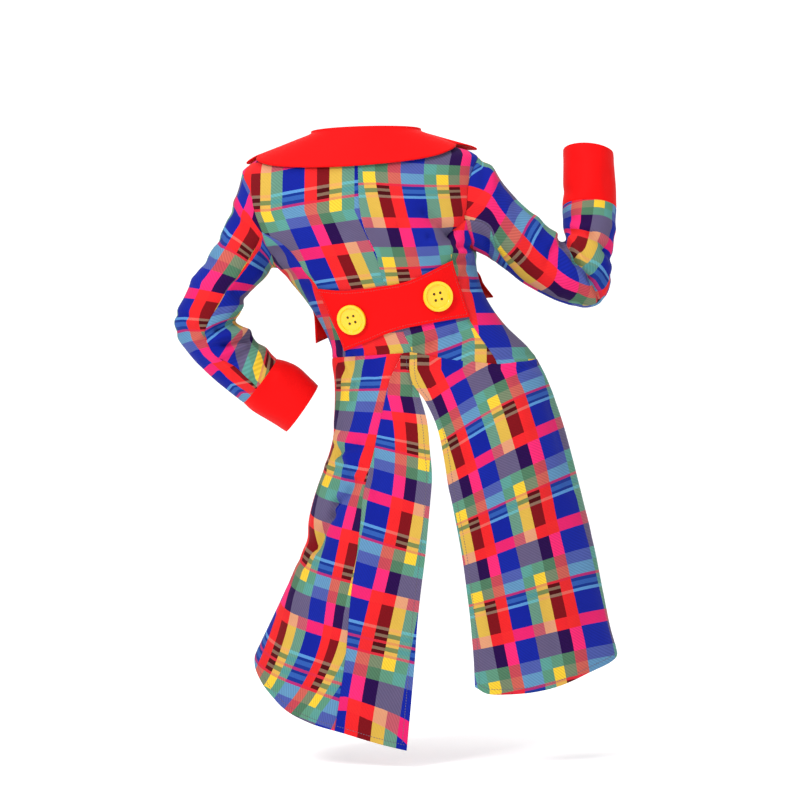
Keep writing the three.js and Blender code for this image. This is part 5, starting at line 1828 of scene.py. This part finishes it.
@dataclass
class Arm:
    """A sleeve of two panels and its red cuff."""

    side: Side
    wardrobe: Wardrobe
    width: float = 150.0  # of a sleeve panel
    length: float = 470.0  # of a sleeve
    cuff_length: float = 85.0
    cuff_cells: int = 72
    hem: float = 14.0  # height of the cuff's turned hem
    hem_rise: float = 0.5
    edge_turn: float = 0.15  # degrees left free along a panel's edges
    seam_front: float = 250.0  # turn of the front seam
    settle: float = 3.0  # rings until the seams reach their own turn
    fold_gap: float = 0.0008  # share of the length between the two lies at the elbow
    fold_depth: float = 4.0
    fold_width: float = 0.11  # in rings

    def __post_init__(self) -> None:
        """Finds the armhole and sets up the sleeve's and the cuff's tubes."""
        left = self.side is Side.LEFT
        self.middle = -90.0 if left else 90.0
        self.hole = LINE["armholeLeft" if left else "armholeRight"]
        self.ends = (SHOULDER[self.side], ARMPIT[self.side])
        rings, cuff = (SLEEVE_LEFT, CUFF_LEFT) if left else (SLEEVE_RIGHT, CUFF_RIGHT)
        top = BODY_FORM.surface(np.array(self.middle), np.array(self.ends[0]), fine=False)
        low = BODY_FORM.surface(np.array(self.middle), np.array(self.ends[1]), fine=False)
        edge = np.array([top[0], top[2], low[0], low[2]])
        self.away = along_arm(edge, np.array(rings[0][:4]) - edge)
        creases = SLEEVE_CREASES[self.side.value]
        self.sleeve = Tube(rings, self.armhole, creases)
        last = np.array(rings[-1][:4], float)
        self.cuff_away = along_arm(last, np.array(cuff[0][:4]) - last)
        self.rows = float(len(rings))
        self.cuff = Tube(cuff, self.sleeve_end, CUFF_CREASES[self.side.value])
        self.seam = curve(SLEEVE_SEAM[self.side.value])

    def armhole(self, turn: Array) -> Array:
        """Points of the armhole's edge, seen round the sleeve.

        Args:
            turn: degrees round the sleeve.

        Returns:
            The points, in mm.
        """
        row = mix(self.ends[0], self.ends[1], (1 - np.cos(np.radians(turn))) / 2)
        hole = self.hole(row)
        on_back = np.sin(np.radians(turn)) > 0
        return BODY_FORM.surface(np.where(on_back, hole, 2 * self.middle - hole), row) + self.away * SEAM_ARM

    def sleeve_end(self, turn: Array) -> Array:
        """Points of the sleeve's lower end, where the cuff starts."""
        return self.sleeve.bare(turn, np.full(np.shape(turn), self.rows)) + self.cuff_away * SEAM_ARM

    def build_panel(self, under: bool) -> tuple[Array, Array, Array]:
        """The points of one sleeve panel and their flat places.

        Args:
            under: whether it is the panel below the back seam.

        Returns:
            A grid of points, its flat places in mm, and whether each point lies beyond the elbow's fold.
        """
        shoulder, armpit = self.ends
        seam_start = math.degrees(math.acos(1 - 2 * (PRINCESS[self.side] - shoulder) / (armpit - shoulder)))
        down = spaced(self.length)
        fold = int(np.searchsorted(down * self.rows, ELBOW_FOLD[0][1]))
        folded = self.side is Side.RIGHT and not under
        if folded:
            down = np.insert(down, fold + 1, down[fold] + self.fold_gap)
        u, v = np.meshgrid(spaced(self.width), down)
        at = v * self.rows
        beyond = np.arange(len(down))[:, None] > fold
        front = self.seam_front - (0 if under else 360)
        for _ in range(3):
            share = smooth(at / self.settle)
            if under:
                low, high = mix(seam_start, self.seam(at), share), mix(360 - seam_start, front, share)
            else:
                low, high = mix(-seam_start, front, share), mix(seam_start, self.seam(at), share)
            turn = mix(low + self.edge_turn, high - self.edge_turn, u)
            if folded:
                line = curve(ELBOW_FOLD)(turn[fold])
                here, left = down[fold] * self.rows, self.rows - v * self.rows
                after = self.rows - left * (self.rows - line) / (self.rows - here)
                at = np.where(beyond, after, v * self.rows * line / here)
        dip = edge_dip(u, v, self.width, self.length, ALL_SEWN)
        if folded:
            dip = dip + self.fold_depth * np.exp(-(((at - line) / self.fold_width) ** 2)) * (turn > 0)
        points = self.sleeve.surface(turn, at, -dip)
        back = self.sleeve.bare(np.full(len(at), 90.0), at[:, 0])
        down = np.concatenate([[0], np.cumsum(np.linalg.norm(np.diff(back, axis=0), axis=-1))])
        flat = np.stack([self.round_places(turn, at), np.repeat(down[:, None], u.shape[1], 1)], -1)
        return points, flat, np.broadcast_to(beyond, turn.shape)

    def cut(self, lie: Lie) -> Cut:
        """The cut of a sleeve piece, from where its marks lie on the back of the plain sleeve.

        Args:
            lie: the piece's marks and the way its cloth runs.

        Returns:
            The cut.
        """
        turn, at = np.meshgrid(np.linspace(0, 180, 241), np.linspace(0, self.rows, 401))
        points = self.sleeve.bare(turn, at)
        steps = np.linalg.norm(np.diff(points[:, 120], axis=0, prepend=points[:1, 120]), axis=-1)
        down = np.repeat(np.cumsum(steps)[:, None], turn.shape[1], 1)
        return Cut(lie, flat_marks(lie.marks, points, np.stack([unrolled(points), down], -1)))

    def round_places(self, turn: Array, at: Array) -> Array:
        """Distances round the sleeve from its back line to each point.

        Args:
            turn: degrees round.
            at: ring numbers.

        Returns:
            The distances, in mm.
        """
        share = np.linspace(0, 1, 24)
        path = self.sleeve.bare(
            90 + (turn[..., None] - 90) * share, np.repeat(at[..., None], 24, -1)
        )
        return np.sign(turn - 90) * np.linalg.norm(np.diff(path, axis=-2), axis=-1).sum(-1)

    def dress(self) -> None:
        """Makes the two panels and the cuff."""
        side = self.side.value
        for part in ("top", "under"):
            points, places, beyond = self.build_panel(part == "under")
            node = f"sleeve_{side}_{part}"
            uv = self.cut(LIES[node]).places(places)
            if node == "sleeve_right_top":
                fore = self.cut(LIES["sleeve_right_fore"]).places(places)
                uv = np.where(beyond[..., None], fore, uv)
            piece = sleeve_mesh(f"{node}_cloth", points, uv, self.sleeve, self.rows)
            piece.data.materials.append(self.wardrobe.sleeve)
            lay_out(piece, points, node)
        self.dress_cuff()

    def dress_cuff(self) -> None:
        """Makes the cuff with a turned hem at its open end."""
        rows = float(len(self.cuff.rings))
        turn, v = np.meshgrid(np.arange(0, 360, 360 / self.cuff_cells), spaced(self.cuff_length))
        away = (1 - v) * self.cuff_length
        turned_in = 0.8 * np.exp(-((v * self.cuff_length / EDGE_ROUND) ** 2))
        out = -turned_in + self.hem_rise * smooth((self.hem - away) / 3)
        points = self.cuff.surface(turn, v * rows, out)
        name = f"cuff_{self.side.value}"
        piece = cloth_mesh(f"{name}_cloth", points, None, thick=RED_CLOTH, ring=True)
        piece.data.materials.append(self.wardrobe.red)
        closed = np.concatenate([points, points[:, :1]], 1)
        lay_out(piece, closed, name)


def sleeve_mesh(name: str, points: Array, uv: Array, tube: Tube, rows: float) -> Piece:
    """A sleeve panel, whose outer face looks away from the tube's own middle line.

    Args:
        name: the piece's name.
        points: its grid of points, in mm.
        uv: their cloth places.
        tube: the sleeve's tube.
        rows: its number of rings.

    Returns:
        The new object.
    """
    at = np.linspace(0, rows, len(points))
    middle = (tube.bare(np.zeros(len(at)), at) + tube.bare(np.full(len(at), 180.0), at)) / 2
    away = points - middle[:, None]
    u = np.gradient(points, axis=1)
    v = np.gradient(points, axis=0)
    if np.sum(np.cross(v, u) * away) < 0:
        points, uv = points[:, ::-1], uv[:, ::-1]
    return cloth_mesh(name, points, uv, inside=None)


@dataclass
class Collar:
    """The red collar: a stand on the neck's edge, a fold, and a fall over the shoulders."""

    wardrobe: Wardrobe
    stand_height: float = 27.0
    fold_out: float = 5.0
    cloth: float = RED_CLOTH

    def control(self, turn: Array) -> Array:
        """Control points of the collar's section at turns, from the neck to the edge.

        Args:
            turn: degrees round.

        Returns:
            Rows of points, in mm.
        """
        neck = BODY_FORM.bare(turn, np.zeros(np.shape(turn)))
        ends = BODY_FORM.bare(np.array([0.0, 180.0]), np.zeros(2))
        outwards = neck - ends.mean(0)
        outwards[..., 2] = 0
        outwards = unit(outwards)
        up = np.array([0, 0, 1.0])
        path = (
            (-2.4, 0.8), (-2.8, self.stand_height * 0.4), (-2.8, self.stand_height - 5),
            (-0.6, self.stand_height), (self.fold_out - 1.8, self.stand_height),
            (self.fold_out, self.stand_height - 4.5),
        )
        stand = [neck + outwards * out + up * rise for out, rise in path]
        fall, lift = curve(COLLAR_FALL, 1)(turn), curve(COLLAR_FALL, 2)(turn)
        edge = BODY_FORM.surface(turn, fall, lift + self.cloth + LAYER, fine=False)
        return np.stack(stand + [mix(stand[-1], edge, k / 4) for k in range(1, 5)])

    def dress(self) -> None:
        """Makes the collar."""
        end = COLLAR_FALL[-1][0]
        turn = np.linspace(-end, end, 150)
        control = self.control(turn)
        steps = np.concatenate([np.linspace(0, 6, 22), np.linspace(6.3, 9, 12)])
        rows = [between_rows(control, np.full(len(turn), min(s, 8.99999))) for s in steps]
        points = np.stack(rows)
        piece = cloth_mesh("collar_cloth", points, None, thick=self.cloth, inside=None)
        piece.data.materials.append(self.wardrobe.red)
        lay_out(piece, points, "collar")


@dataclass
class Lapel:
    """A red lapel on a front, whose lower tip stands away from the body."""

    side: Side
    wardrobe: Wardrobe
    cloth: float = RED_CLOTH
    hem: float = 5.0  # from its edge to the stitches

    def dress(self) -> None:
        """Makes the lapel."""
        left = self.side is Side.LEFT
        table = LAPEL_LEFT if left else LAPEL_RIGHT
        edge = LINE["frontEdgeLeft" if left else "frontEdgeRight"]
        outer, rise = curve(table, 1), curve(table, 2)
        first, last = table[0][0], table[-1][0]
        u, v = np.meshgrid(np.linspace(0, 1, 22), np.linspace(0, 1, 66))
        free = u if left else 1 - u
        row = mix(first, last - 0.5 * (1 - free), v)
        turn = mix(edge(row), outer(row), free)
        out = LAPEL_LAYER + self.cloth + rise(row) * free * free
        points = BODY_FORM.surface(turn, row, out)
        name = f"lapel_{self.side.value}"
        middle = core(points)
        piece = cloth_mesh(f"{name}_cloth", points, None, thick=self.cloth, inside=middle)
        piece.data.materials.append(self.wardrobe.red)
        lay_out(piece, points, name)
        thread = Stitching(f"{name}_stitches", "red_cloth", self.wardrobe.red_thread)
        for where in ("bottom", "right" if left else "left"):
            thread.lines.append(inset_line(points, where, self.hem, middle))
        thread.dress()


def inset_line(points: Array, edge: str, inset: float, inside: Array) -> tuple[Array, Array]:
    """A line that runs at an even distance inside one edge of a grid.

    Args:
        points: the grid, in mm.
        edge: which edge: top, bottom, left or right.
        inset: the distance from it, in mm.
        inside: a point behind the cloth, or one for each point of the grid.

    Returns:
        Points of the line, and the outward normals there.
    """
    normals = unit(np.cross(np.gradient(points, axis=1), np.gradient(points, axis=0)))
    normals = normals * np.sign(np.sum(normals * (points - inside)))
    both = np.concatenate([points, normals], -1)
    if edge in ("left", "right"):
        both = both.swapaxes(0, 1)
    if edge in ("bottom", "right"):
        both = both[::-1]
    steps = np.linalg.norm(np.diff(both[..., :3], axis=0), axis=-1)
    far = np.concatenate([np.zeros((1, both.shape[1])), np.cumsum(steps, 0)])
    row = np.clip((far < inset).sum(0), 1, len(far) - 1)
    column = np.arange(both.shape[1])
    share = (inset - far[row - 1, column]) / (far[row, column] - far[row - 1, column])
    line = mix(both[row - 1, column], both[row, column], share[:, None])
    return line[:, :3], unit(line[:, 3:])


@dataclass
class Stitching:
    """Rows of short stitches, each a small closed grain of thread."""

    name: str
    slot: str
    finish: Finish
    pitch: float = 4.4  # from one stitch to the next
    length: float = 3.2
    radius: float = 0.5
    straight: float = 0.6  # share of a stitch between its two pointed ends
    lines: list[tuple[Array, Array]] = field(default_factory=list)

    def model(self) -> tuple[Array, list[list[int]]]:
        """Models one stitch as a short rod whose ends are drawn out to points.

        Returns:
            Its corners in mm, with Z along the stitch and X outwards, and its faces.
        """
        bpy.ops.object.select_all(action="DESELECT")
        straight = self.straight * self.length * MM
        bpy.ops.mesh.primitive_cylinder_add(
            vertices=4, radius=self.radius * MM, depth=straight, end_fill_type="TRIFAN"
        )
        rod = bpy.context.object
        draw = (1 - self.straight) / 2 * self.length * MM
        for end in (-1, 1):
            bpy.ops.object.mode_set(mode="EDIT")
            bpy.ops.mesh.select_mode(type="VERT")
            bpy.ops.mesh.select_all(action="DESELECT")
            bpy.ops.object.mode_set(mode="OBJECT")
            for corner in rod.data.vertices:
                corner.select = corner.co.xy.length < 0.1 * self.radius * MM and corner.co.z * end > 0
            bpy.ops.object.mode_set(mode="EDIT")
            bpy.ops.transform.translate(value=(0, 0, end * draw))
            bpy.ops.object.mode_set(mode="OBJECT")
        corners = np.array([corner.co[:] for corner in rod.data.vertices]) / MM
        faces = [list(face.vertices) for face in rod.data.polygons]
        bpy.data.objects.remove(rod)
        return corners, faces

    def dress(self) -> None:
        """Copies the stitch along every line, as one piece."""
        shape, sides = self.model()
        corners, faces = [], []
        for line, normals in self.lines:
            far = np.concatenate([[0], np.cumsum(np.linalg.norm(np.diff(line, axis=0), axis=-1))])
            for place in np.arange(self.pitch, far[-1] - self.pitch, self.pitch):
                at, ahead, behind, out = (
                    np.array([np.interp(where, far, source[:, k]) for k in range(3)])
                    for where, source in (
                        (place, line), (place + 1, line), (place - 1, line), (place, normals),
                    )
                )
                way, out = unit(ahead - behind), unit(out)
                first = len(shape) * len(corners)
                corners.append(at + shape @ np.stack([out, np.cross(way, out), way]))
                faces += [[first + corner for corner in side] for side in sides]
        mesh = bpy.data.meshes.new(self.name)
        mesh.from_pydata((np.concatenate(corners) * MM).tolist(), [], faces)
        mesh.materials.append(self.finish)
        piece = bpy.data.objects.new(self.name, mesh)
        bpy.context.scene.collection.objects.link(piece)
        for polygon in mesh.polygons:
            polygon.use_smooth = True
        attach(piece, "root")
        LOG.info("%s: %d stitches", self.name, len(corners))


@dataclass
class HalfBelt:
    """The red half belt on the back, from princess seam to princess seam."""

    wardrobe: Wardrobe
    cloth: float = RED_CLOTH
    inset: float = 0.3  # degrees between its ends and the princess seams
    wide: float = 265.0
    tall: float = 80.0
    hem: float = 4.5  # from its edge to the stitches

    def point(self, u: Array, v: Array, out: Array | float) -> Array:
        """Points of the belt for shares across and down.

        Args:
            u: shares across.
            v: shares down.
            out: distance outwards, in mm.

        Returns:
            The points, in mm.
        """
        row = mix(curve(BELT_TOP)(u), curve(BELT_BOTTOM)(u), v)
        left, right = LINE["princessLeft"](row) + self.inset, LINE["princessRight"](row) - self.inset
        return BODY_FORM.surface(mix(left, right, u), row, out, fine=False)

    def dress(self) -> None:
        """Makes the belt with rounded edges and a faint pull between its buttons."""
        u, v = np.meshgrid(spaced(self.wide), spaced(self.tall))
        out = LAYER + self.cloth - edge_dip(u, v, self.wide, self.tall, ALL_SEWN, 0.7)
        out = out + 0.5 * np.sin(u * 9) * np.sin(v * 5 + 1)
        points = self.point(u, v, out)
        middle = core(points)
        piece = cloth_mesh("half_belt_cloth", points, None, thick=self.cloth, inside=middle)
        piece.data.materials.append(self.wardrobe.red)
        lay_out(piece, points, "half_belt")
        thread = Stitching("belt_stitches", "red_cloth", self.wardrobe.red_thread)
        for edge in ("top", "bottom", "left", "right"):
            thread.lines.append(inset_line(points, edge, self.hem, middle))
        thread.dress()


@dataclass
class Button:
    """A large round button with a raised rim, a dish and four holes."""

    name: str
    turn: float
    down: float
    air: float
    wardrobe: Wardrobe
    radius: float = 24.5
    rim: float = 5.0
    dish: float = 2.6
    rim_width: float = 6.0
    hole_radius: float = 2.3
    hole_at: float = 5.2
    hole_turn: float = 14.0

    def pose(self) -> Matrix:
        """Where the button sits on the belt, in metres.

        Returns:
            The matrix from its own place to the belt.
        """
        turn, down = np.array(self.turn), np.array(self.down)
        surface = functools.partial(BODY_FORM.surface, fine=False)
        across = surface(turn + 2, down) - surface(turn - 2, down)
        along = surface(turn, down + 0.2) - surface(turn, down - 0.2)
        n = Vector(-unit(np.cross(across, along)))
        side = Vector((0, 0, 1)).cross(n).normalized()
        up = n.cross(side)
        at = Vector(surface(turn, down)) + n * (LAYER + RED_CLOTH + self.air)
        rows = [(*[axis[k] for axis in (side, up, n)], at[k] * MM) for k in range(3)]
        return Matrix((*rows, (0, 0, 0, 1))) @ Matrix.Rotation(math.radians(self.hole_turn), 4, "Z")

    def turned(self) -> Piece:
        """The round body, made from a disc by insets and moves.

        Returns:
            The body at the origin.
        """
        bpy.ops.object.select_all(action="DESELECT")
        bpy.ops.mesh.primitive_cylinder_add(
            vertices=96, radius=self.radius * MM, depth=self.rim * MM, location=(0, 0, self.rim * MM / 2)
        )
        piece = bpy.context.object
        piece.name = f"{self.name}_plastic"
        bpy.ops.object.transform_apply(location=True, rotation=True, scale=True)
        bpy.ops.object.mode_set(mode="EDIT")
        bpy.ops.mesh.select_mode(type="FACE")
        bpy.ops.mesh.select_all(action="DESELECT")
        self.pick_top(piece)
        bpy.ops.mesh.inset(thickness=0.7 * MM, depth=0)
        bpy.ops.mesh.inset(thickness=(self.rim_width - 1.9) * MM, depth=0)
        bpy.ops.mesh.inset(thickness=1.2 * MM, depth=-(self.rim - self.dish) * MM)
        bpy.ops.mesh.inset(thickness=3.0 * MM, depth=-0.25 * MM)
        bpy.ops.mesh.inset(thickness=6.0 * MM, depth=0)
        bpy.ops.object.mode_set(mode="OBJECT")
        bevel = piece.modifiers.new("soft edges", "BEVEL")
        bevel.width = 0.7 * MM
        bevel.segments = 3
        bevel.angle_limit = math.radians(35)
        apply_modifiers(piece)
        return piece

    def pick_top(self, piece: Piece) -> None:
        """Selects the upper face of the disc in edit mode.

        Args:
            piece: the disc.
        """
        shape = bmesh.from_edit_mesh(piece.data)
        for face in shape.faces:
            face.select = face.normal.z > 0.9 and len(face.verts) > 4
        bmesh.update_edit_mesh(piece.data)

    def corners(self) -> list[tuple[float, float]]:
        """The middles of the four holes, in mm."""
        return [(x * self.hole_at, y * self.hole_at) for x, y in ((1, 1), (1, -1), (-1, 1), (-1, -1))]

    def drill(self, piece: Piece) -> None:
        """Cuts the four holes.

        Args:
            piece: the button's body.
        """
        for x, y in self.corners():
            bpy.ops.object.select_all(action="DESELECT")
            bpy.ops.mesh.primitive_cylinder_add(
                vertices=24, radius=self.hole_radius * MM, depth=20 * MM, location=(x * MM, y * MM, 0)
            )
            drill = bpy.context.object
            cut = piece.modifiers.new("hole", "BOOLEAN")
            cut.operation = "DIFFERENCE"
            cut.object = drill
            apply_modifiers(piece)
            bpy.data.objects.remove(drill)

    def dress(self) -> None:
        """Makes the button and the thread in its holes."""
        piece = self.turned()
        self.drill(piece)
        piece.data.transform(self.pose())
        select_only(piece)
        bpy.ops.object.shade_smooth_by_angle(angle=math.radians(35))
        piece.data.materials.append(self.wardrobe.plastic)
        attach(piece, "root")
        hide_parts(self.name)
        self.sew()
        LOG.info("%s: %d faces", piece.name, len(piece.data.polygons))

    def sew(self) -> None:
        """Makes the thread that fills the four holes, just below the dish's face."""
        ends: list[Piece] = []
        for x, y in self.corners():
            bpy.ops.object.select_all(action="DESELECT")
            bpy.ops.mesh.primitive_cylinder_add(
                vertices=16, radius=(self.hole_radius - 0.25) * MM, depth=(self.dish - 1.0) * MM,
                location=(x * MM, y * MM, (self.dish - 1.0) / 2 * MM),
            )
            end = bpy.context.object
            bpy.ops.object.mode_set(mode="EDIT")
            bpy.ops.mesh.select_all(action="SELECT")
            bpy.ops.mesh.bevel(offset=0.5 * MM, segments=2)
            bpy.ops.object.mode_set(mode="OBJECT")
            ends.append(end)
        bpy.ops.object.select_all(action="DESELECT")
        for end in ends:
            end.select_set(True)
        bpy.context.view_layer.objects.active = ends[0]
        bpy.ops.object.join()
        thread = bpy.context.object
        thread.name = f"{self.name}_thread"
        bpy.ops.object.transform_apply(location=True, rotation=True, scale=True)
        thread.data.transform(self.pose())
        thread.data.materials.append(self.wardrobe.dark_thread)
        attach(thread, "root")


@dataclass
class Studio:
    """A pale floor and backdrop, soft light and the camera at the picture's angle."""

    wardrobe: Wardrobe
    floor: float = -1.004  # in metres, as all of the studio
    reach: float = 9.0  # half the floor's width, and how far it comes forwards
    backdrop: float = 6.6  # how far back the upright stands
    height: float = 7.0

    def build(self) -> None:
        """Makes the floor, lights and camera."""
        self.make_floor()
        self.make_lights()
        self.make_camera()

    def make_floor(self) -> None:
        """A plain floor that runs up into a backdrop in one curve."""
        bend = np.linspace(self.backdrop - 1, self.backdrop, 12)
        y = np.concatenate([[-self.reach], bend, [self.backdrop]])
        z = np.concatenate([[0.0], 1.0 - np.cos(np.linspace(0, math.pi / 2, 12)), [self.height]])
        grid = [(x, b, self.floor + c) for b, c in zip(y, z) for x in (-self.reach, self.reach)]
        faces = [(2 * k, 2 * k + 1, 2 * k + 3, 2 * k + 2) for k in range(len(y) - 1)]
        mesh = bpy.data.meshes.new("floor")
        mesh.from_pydata(grid, [], faces)
        piece = bpy.data.objects.new("floor", mesh)
        bpy.context.scene.collection.objects.link(piece)
        for polygon in mesh.polygons:
            polygon.use_smooth = True
        mesh.materials.append(self.wardrobe.paper)

    def make_lights(self) -> None:
        """A large key light, a fill, a top light and a bright, even surround."""
        plan = (
            ("key", (-2.1, -2.8, 2.2), 1.3, 112.0),
            ("fill", (2.6, -3.2, 0.4), 2.6, 22.0),
            ("top", (0.2, -0.6, 2.6), 1.8, 36.0),
        )
        aim = Vector((0.07, 0.0, -0.45))
        for name, place, size, watts in plan:
            light = bpy.data.lights.new(name, "AREA")
            light.shape = "SQUARE"
            light.size = size
            light.energy = watts
            lamp = bpy.data.objects.new(name, light)
            lamp.location = place
            lamp.rotation_euler = (aim - Vector(place)).to_track_quat("-Z", "Y").to_euler()
            bpy.context.scene.collection.objects.link(lamp)
        world = bpy.data.worlds.new("pale surround")
        world.use_nodes = True
        world.node_tree.nodes["Background"].inputs[0].default_value = (1, 1, 1, 1)
        world.node_tree.nodes["Background"].inputs[1].default_value = 0.56
        bpy.context.scene.world = world
        bpy.context.scene.view_settings.view_transform = "Standard"

    def make_camera(self) -> None:
        """The camera, level and square on to the back."""
        lens = bpy.data.cameras.new("camera")
        lens.sensor_width = 36.0
        lens.lens = lens.sensor_width * -EYE[1] / SEEN
        camera = bpy.data.objects.new("camera", lens)
        camera.location = [part * MM for part in EYE]
        camera.rotation_euler = (math.radians(90), 0, 0)
        bpy.context.scene.collection.objects.link(camera)
        bpy.context.scene.camera = camera


def main() -> None:
    """Builds the coat piece by piece, then the studio."""
    logging.basicConfig(level=logging.INFO, format="%(name)s: %(message)s")
    wardrobe = Wardrobe()
    bodice = Bodice(wardrobe)
    bodice.build()
    bodice.dress()
    tails = Tails(wardrobe)
    tails.build()
    tails.dress()
    for side in Side:
        Arm(side, wardrobe).dress()
        Lapel(side, wardrobe).dress()
    Collar(wardrobe).dress()
    HalfBelt(wardrobe).dress()
    for name, turn, down, air in BUTTONS:
        Button(name, turn, down, air, wardrobe).dress()
    Studio(wardrobe).build()


if __name__ == "__main__":
    main()
